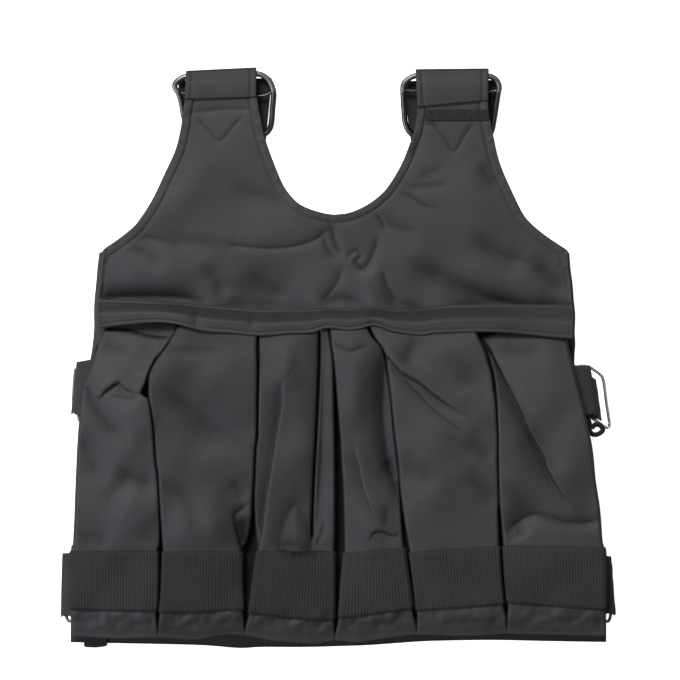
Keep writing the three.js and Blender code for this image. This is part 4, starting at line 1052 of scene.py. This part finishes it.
def make_shoulder(side):
    """The ring, the strap folded over its top bar and the back panel's loop below it."""
    shoulder = SHOULDERS[side]
    bar_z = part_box(f"shoulder_ring_{side}")[1].z - SHOULDER_RING_WIRE / 2
    make_shoulder_ring(side, bar_z)

    turn = (SHOULDER_RING_WIRE + STRAP_THICKNESS) / 2 + CLEAR
    on_panel = PANEL_Z + PANEL_THICKNESS / 2 + SHOULDER_LIFT + CLEAR + STRAP_THICKNESS / 2 + 0.3 * MM
    length = (shoulder.strap[3][1] - shoulder.strap[0][1]) * PIXEL
    bar = (turn + STRAP_THICKNESS / 2) / length
    angles = np.radians([-100, -60, -20, 20, 60])
    fold = [(bar - turn / length * math.cos(a), bar_z + turn * math.sin(a)) for a in angles]
    lowest = bar_z - turn - 1.6 * MM
    path = [
        (1.35, lowest),
        (0.9, bar_z - turn - 0.8 * MM),
        *fold,
        (bar + 0.05, bar_z + turn),
        (0.45, (bar_z + turn + on_panel) / 2 + 1.0 * MM),
        (0.75, on_panel + 0.3 * MM),
        (1, on_panel),
    ]
    grid = on_corners(shoulder.strap, path, 64)
    along = (grid[..., 0] - grid[..., :1, 0]) / (grid[..., -1:, 0] - grid[..., :1, 0])
    edge = np.minimum(along, 1 - along) * 54 * MM
    stitched = np.exp(-(((edge - 4.5 * MM) / (1.1 * MM)) ** 2))
    grid[..., 2] -= 0.5 * MM * stitched
    # Painted shade in dots along the strap's stitched grooves
    stitch_shade = 0.35 * stitched * (0.6 + 0.4 * np.cos(2 * np.pi * grid[..., 1] / (3.4 * MM)))
    node = f"shoulder_strap_{side}"
    cloth = sheet_faces(seen_there(grid[:, ::-1]), STRAP_THICKNESS, dark=stitch_shade[:, ::-1])
    # The strap gets the cloth painted darker, as painted shade
    strap = add_piece(f"{node}_cloth", cloth, CLOTH_PAINTED_DARKER, node)

    node = f"shoulder_loop_{side}"
    under = lowest - STRAP_THICKNESS - WEB_THICKNESS
    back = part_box(node)[0].z + WEB_THICKNESS / 2
    path = [
        (1.75, back),
        (1.4, back),
        (1.1, back + 0.3 * (under - back)),
        (0.7, under - 1.2 * MM),
        (0.25, under - 0.2 * MM),
        (0.0, under + 0.8 * MM),
    ]
    grid = on_corners(shoulder.loop, path, 40)
    cloth = sheet_faces(seen_there(grid[:, ::-1]), WEB_THICKNESS)
    loop = add_piece(f"{node}_webbing", cloth, DARK, node)


# The straps at the sides: corners of the layer that shows, from the inner upper one to the outer upper one.
# The upper right strap has a second layer in front and a rolled end, as paths of the photograph. Side rings
# are paths of their wire.
SIDE_STRAPS = {
    "upper_left": [(96, 358.5), (90, 417), (70.8, 413.5), (76.4, 362)],
    "upper_right": [(574, 365), (584, 417), (602, 421.5), (596.4, 380)],
    "lower_left": [(86, 553), (86, 615.5), (60.6, 616), (62.2, 553)],
    "lower_right": [(594, 555.5), (594, 612), (616, 615.4), (611, 556.2)],
}
FRONT_LAYER = [(572, 365), (584, 416), (597.8, 414.8), (590.6, 366)]
CURLED_END = [
    (586, 412), (588.5, 420), (590, 426), (589.6, 430.5), (593, 434.4), (598.5, 434), (602.8, 430),
    (600.5, 425.6), (595.5, 424.6), (591.6, 428),
]
SIDE_RINGS = {
    "upper_left": [
        (92, 368), (78, 369), (75, 373), (73.4, 400), (75.4, 409), (78, 415), (79.6, 420.5), (83, 421.5),
        (88, 416), (92, 408),
    ],
    "upper_right": [
        (580, 366), (588, 366.5), (594, 370), (600.4, 374.8), (603.4, 380.5), (606.2, 402),
        (609.3, 423.8), (606.5, 427.6), (600, 423.6), (590, 416.5), (584, 412),
    ],
    "lower_left": [
        (80, 562), (67, 563), (64.5, 567), (64, 604), (65.4, 613), (67.5, 619.5), (70.5, 621), (75, 616),
        (80, 606),
    ],
    "lower_right": [
        (598, 563), (608, 563.5), (611, 567), (611.5, 606), (610.6, 615), (609, 620.3), (606, 621.3),
        (602.5, 616), (598, 606),
    ],
}
SIDE_RING_WIRE = 2.4 * MM
ROLL_RADIUS = 1.9 * MM


def folded_web(corners, low, high, seed):
    """A strap folded round its outer end, with a slightly ragged lower side."""
    upper, lower = high - WEB_THICKNESS / 2, low + WEB_THICKNESS / 2
    middle, radius = (upper + lower) / 2, (upper - lower) / 2
    span = abs(corners[2][0] - corners[1][0]) * PIXEL
    centre = 1 - (radius + WEB_THICKNESS / 2) / span
    angles = np.radians(np.linspace(90, -90, 9))
    turn = [(centre + radius / span * math.cos(a), middle + radius * math.sin(a)) for a in angles]
    path = [(-0.1, upper), (centre * 0.5, upper), *turn, (centre * 0.5, lower), (-0.1, lower)]
    grid = on_corners(corners, path, 34)
    share = np.linspace(0, 1, 34)[None, :]
    ragged = noise(grid[..., 0], share * 0, 1.6 * MM, seed) * smoothstep(share, 0.96, 1)
    grid[..., 1] += 1.4 * MM * ragged
    ribs = 0.12 * MM * np.cos(2 * np.pi * grid[..., 0] / (1.7 * MM))
    if corners[0][0] < corners[3][0]:
        grid, ribs = grid[:, ::-1], ribs[:, ::-1]
    return sheet_faces(seen_there(grid), WEB_THICKNESS, lift=ribs)


def curled_end(low, high):
    """The strap's loose end, rolled up below the ring."""
    path = smooth_path(CURLED_END, 0.5)
    fall = high - 1.5 * MM - (high - low - 3 * MM) * np.linspace(0, 1, len(path)) ** 2 * 0.5
    return tube(seen_there(np.column_stack([plan(path), fall])), ROLL_RADIUS)


def make_side_strap(name):
    """What shows of an adjusting strap, folded at its outer end."""
    node = f"side_strap_{name}"
    low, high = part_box(node)
    corners = SIDE_STRAPS[name]
    if name == "upper_right":
        layer = (high.z - low.z) / 3
        parts = [
            folded_web(corners, low.z, high.z - layer, 7),
            folded_web(FRONT_LAYER, low.z + layer, high.z, 8),
            curled_end(low.z, high.z - layer),
        ]
        vertices, faces = joined([part[:2] for part in parts])
        # The rolled end is painted darker, as painted shade
        shade = np.zeros(len(vertices))
        rolled = len(parts[-1][0])
        shade[-rolled:] = 0.55
        cloth = (vertices, faces, shade)
    else:
        cloth = folded_web(corners, low.z, high.z, 9)
    piece = add_piece(f"{node}_webbing", cloth, WEBBING, node)


def make_keeper(name):
    """The short webbing that folds round a side ring's inner bar."""
    node = f"ring_keeper_{name}"
    side = 1 if name.endswith("right") else -1
    low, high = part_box(node)
    width = (high.y - low.y) * 0.97
    middle_y = (low.y + high.y) / 2
    bottom, top = low.z + WEB_THICKNESS / 2, high.z - WEB_THICKNESS / 2
    radius = (top - bottom) / 2
    inner, outer = (low.x, high.x) if side > 0 else (-high.x, -low.x)
    centre = (outer - radius - WEB_THICKNESS / 2, (top + bottom) / 2)
    turn = arc(centre, radius, 90, -90, 9)
    path = [(inner, top), (inner + 4 * MM, top), *turn, (centre[0] - 5 * MM, bottom)]
    grid = ribbon(path, width)
    points = np.stack([side * grid[..., 1], grid[..., 0] + middle_y, grid[..., 2]], -1)
    if side > 0:
        points = points[:, ::-1]
    cloth = sheet_faces(points, WEB_THICKNESS)
    piece = add_piece(f"{node}_webbing", cloth, WEBBING, node)


def make_side_ring(name):
    """A bent wire: the upper right ring leans out whole, and the others show only below their straps."""
    node = f"side_ring_{name}"
    path = smooth_path([*SIDE_RINGS[name], SIDE_RINGS[name][0]], 1.0)[:-1]
    if name == "upper_right":
        low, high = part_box(node)
        share = smoothstep(path[:, 0], 582, 606)
        height = high.z - SIDE_RING_WIRE / 2 + (low.z - high.z + SIDE_RING_WIRE) * share
    else:
        low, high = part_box(f"side_strap_{name}")
        height = np.full(len(path), (low.z + high.z) / 2)
    wire = tube(seen_there(np.column_stack([plan(path), height])), SIDE_RING_WIRE / 2, closed=True)
    # The other side rings take the lighter copy of the gunmetal
    look = CHROME if name == "upper_right" else GUNMETAL_PAINTED_LIGHT
    add_piece(f"{node}_wire", (*wire, None), look, node)


# The hook tape's ends and edges, and the hem tab's left end, width, top and uneven lower edge
HOOK_TAPE_PX = (425.6, 489)
HOOK_TAPE_PY = (120.4, 109.6)
HOOK_TAPE_THICKNESS = 0.8 * MM
TAB_LEFT = 84
TAB_WIDTH = 23.4
TAB_TOP = 633
TAB_END = ([0, 0.06, 0.5, 0.94, 1], [646.0, 647.2, 647.6, 646.4, 644.5])


def make_hook_tape():
    """The strip of hook tape on the right shoulder, rough and a little uneven, with painted shade between
    its hooks.
    """
    px, py = np.meshgrid(np.linspace(*HOOK_TAPE_PX, 120), np.linspace(*HOOK_TAPE_PY, 17))
    x, y = plan_xy(px, py)
    base, _ = bib_height(x, y)
    hooks = noise(x, y, 1.3 * MM, 71)
    z = base + CLEAR + (0.5 + 0.3 * hooks) * MM
    # The tape's colour is darkened by 0.15 throughout, and painted shade deepens it in the low places
    # between its hooks
    dark = 0.15 + 0.3 * np.maximum(0, -hooks)
    cloth = sheet_faces(seen_there(np.stack([x, y, z], -1)), HOOK_TAPE_THICKNESS, dark=dark)
    tape = add_piece("shoulder_hook_right_tape", cloth, TAPE, "shoulder_hook_right")


def make_hem_tab():
    """The small dark tab under the hem, a little uneven at its end."""
    low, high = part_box("back_hem_tab")
    across, down = np.meshgrid(np.linspace(0, 1, 24), np.linspace(0, 1, 12))
    py = TAB_TOP + (np.interp(across, *TAB_END) - TAB_TOP) * (1 - down)
    x, y = plan_xy(TAB_LEFT + TAB_WIDTH * across, py)
    z = np.full_like(x, (low.z + high.z) / 2) + 0.25 * MM * noise(x, y, 5 * MM, 72)
    cloth = sheet_faces(seen_there(np.stack([x, y, z], -1)), high.z - low.z)
    tab = add_piece("back_hem_tab_webbing", cloth, DARK, "back_hem_tab")


def make_stage():
    """A pale floor that throws no light back onto the vest."""
    mesh = bpy.data.meshes.new("floor")
    far = 6.0
    mesh.from_pydata([(-far, -far, 0), (far, -far, 0), (far, far, 0), (-far, far, 0)], [], [(0, 1, 2, 3)])
    floor = bpy.data.objects.new("floor", mesh)
    floor.location.z = -0.3 * MM
    floor.visible_diffuse = False
    floor.visible_glossy = False
    bpy.context.scene.collection.objects.link(floor)
    material, shader = new_material("pale floor")
    shader.inputs["Base Color"].default_value = (0.9, 0.9, 0.9, 1)
    shader.inputs["Roughness"].default_value = 0.9
    shader.inputs["Emission Color"].default_value = (1, 1, 1, 1)
    shader.inputs["Emission Strength"].default_value = 0.9
    mesh.materials.append(material)


# Each lamp's place, size, power and colour, and the light from all around
LAMPS = {
    "key": ((-0.9, 2.1, 2.7), 1.3, 112, (0.99, 0.98, 1.0)),
    "fill": ((-2.6, -0.9, 1.9), 1.5, 66, (0.86, 0.9, 1.0)),
}
AMBIENT = 0.28


def make_light(name, place, size, energy, color):
    """A round lamp that points at the origin."""
    data = bpy.data.lights.new(name, "AREA")
    data.shape = "DISK"
    data.size = size
    data.energy = energy
    data.color = color
    light = bpy.data.objects.new(name, data)
    light.location = place
    light.rotation_mode = "QUATERNION"
    light.rotation_quaternion = (-Vector(place)).to_track_quat("-Z", "Y")
    bpy.context.scene.collection.objects.link(light)


def make_camera_and_light():
    """A camera that looks straight down with the photograph's framing, and the lamps."""
    scene = bpy.context.scene
    data = bpy.data.cameras.new("camera")
    data.sensor_width = 36
    data.lens = data.sensor_width * CAMERA_DISTANCE / (PHOTO_SIZE * PIXEL)
    camera = bpy.data.objects.new("camera", data)
    camera.location = (*CAMERA_XY, CAMERA_DISTANCE + PHOTO_PLANE)
    scene.collection.objects.link(camera)
    scene.camera = camera

    world = bpy.data.worlds.new("studio")
    world.use_nodes = True
    background = world.node_tree.nodes["Background"]
    background.inputs["Color"].default_value = (1, 1, 1, 1)
    background.inputs["Strength"].default_value = AMBIENT
    scene.world = world
    for name, lamp in LAMPS.items():
        make_light(name, *lamp)
    scene.view_settings.view_transform = "Standard"
    scene.view_settings.look = "None"


make_camera_and_light()
make_stage()
make_front_panel()
make_back_panel()
for pocket_index in range(len(POCKET_MOUTHS)):
    make_pocket(pocket_index)
    make_band(pocket_index)
make_flap()
for shoulder_side in SHOULDERS:
    make_shoulder(shoulder_side)
for strap_name in SIDE_STRAPS:
    make_side_strap(strap_name)
    make_keeper(strap_name)
for ring_name in SIDE_RINGS:
    make_side_ring(ring_name)
make_hook_tape()
make_hem_tab()
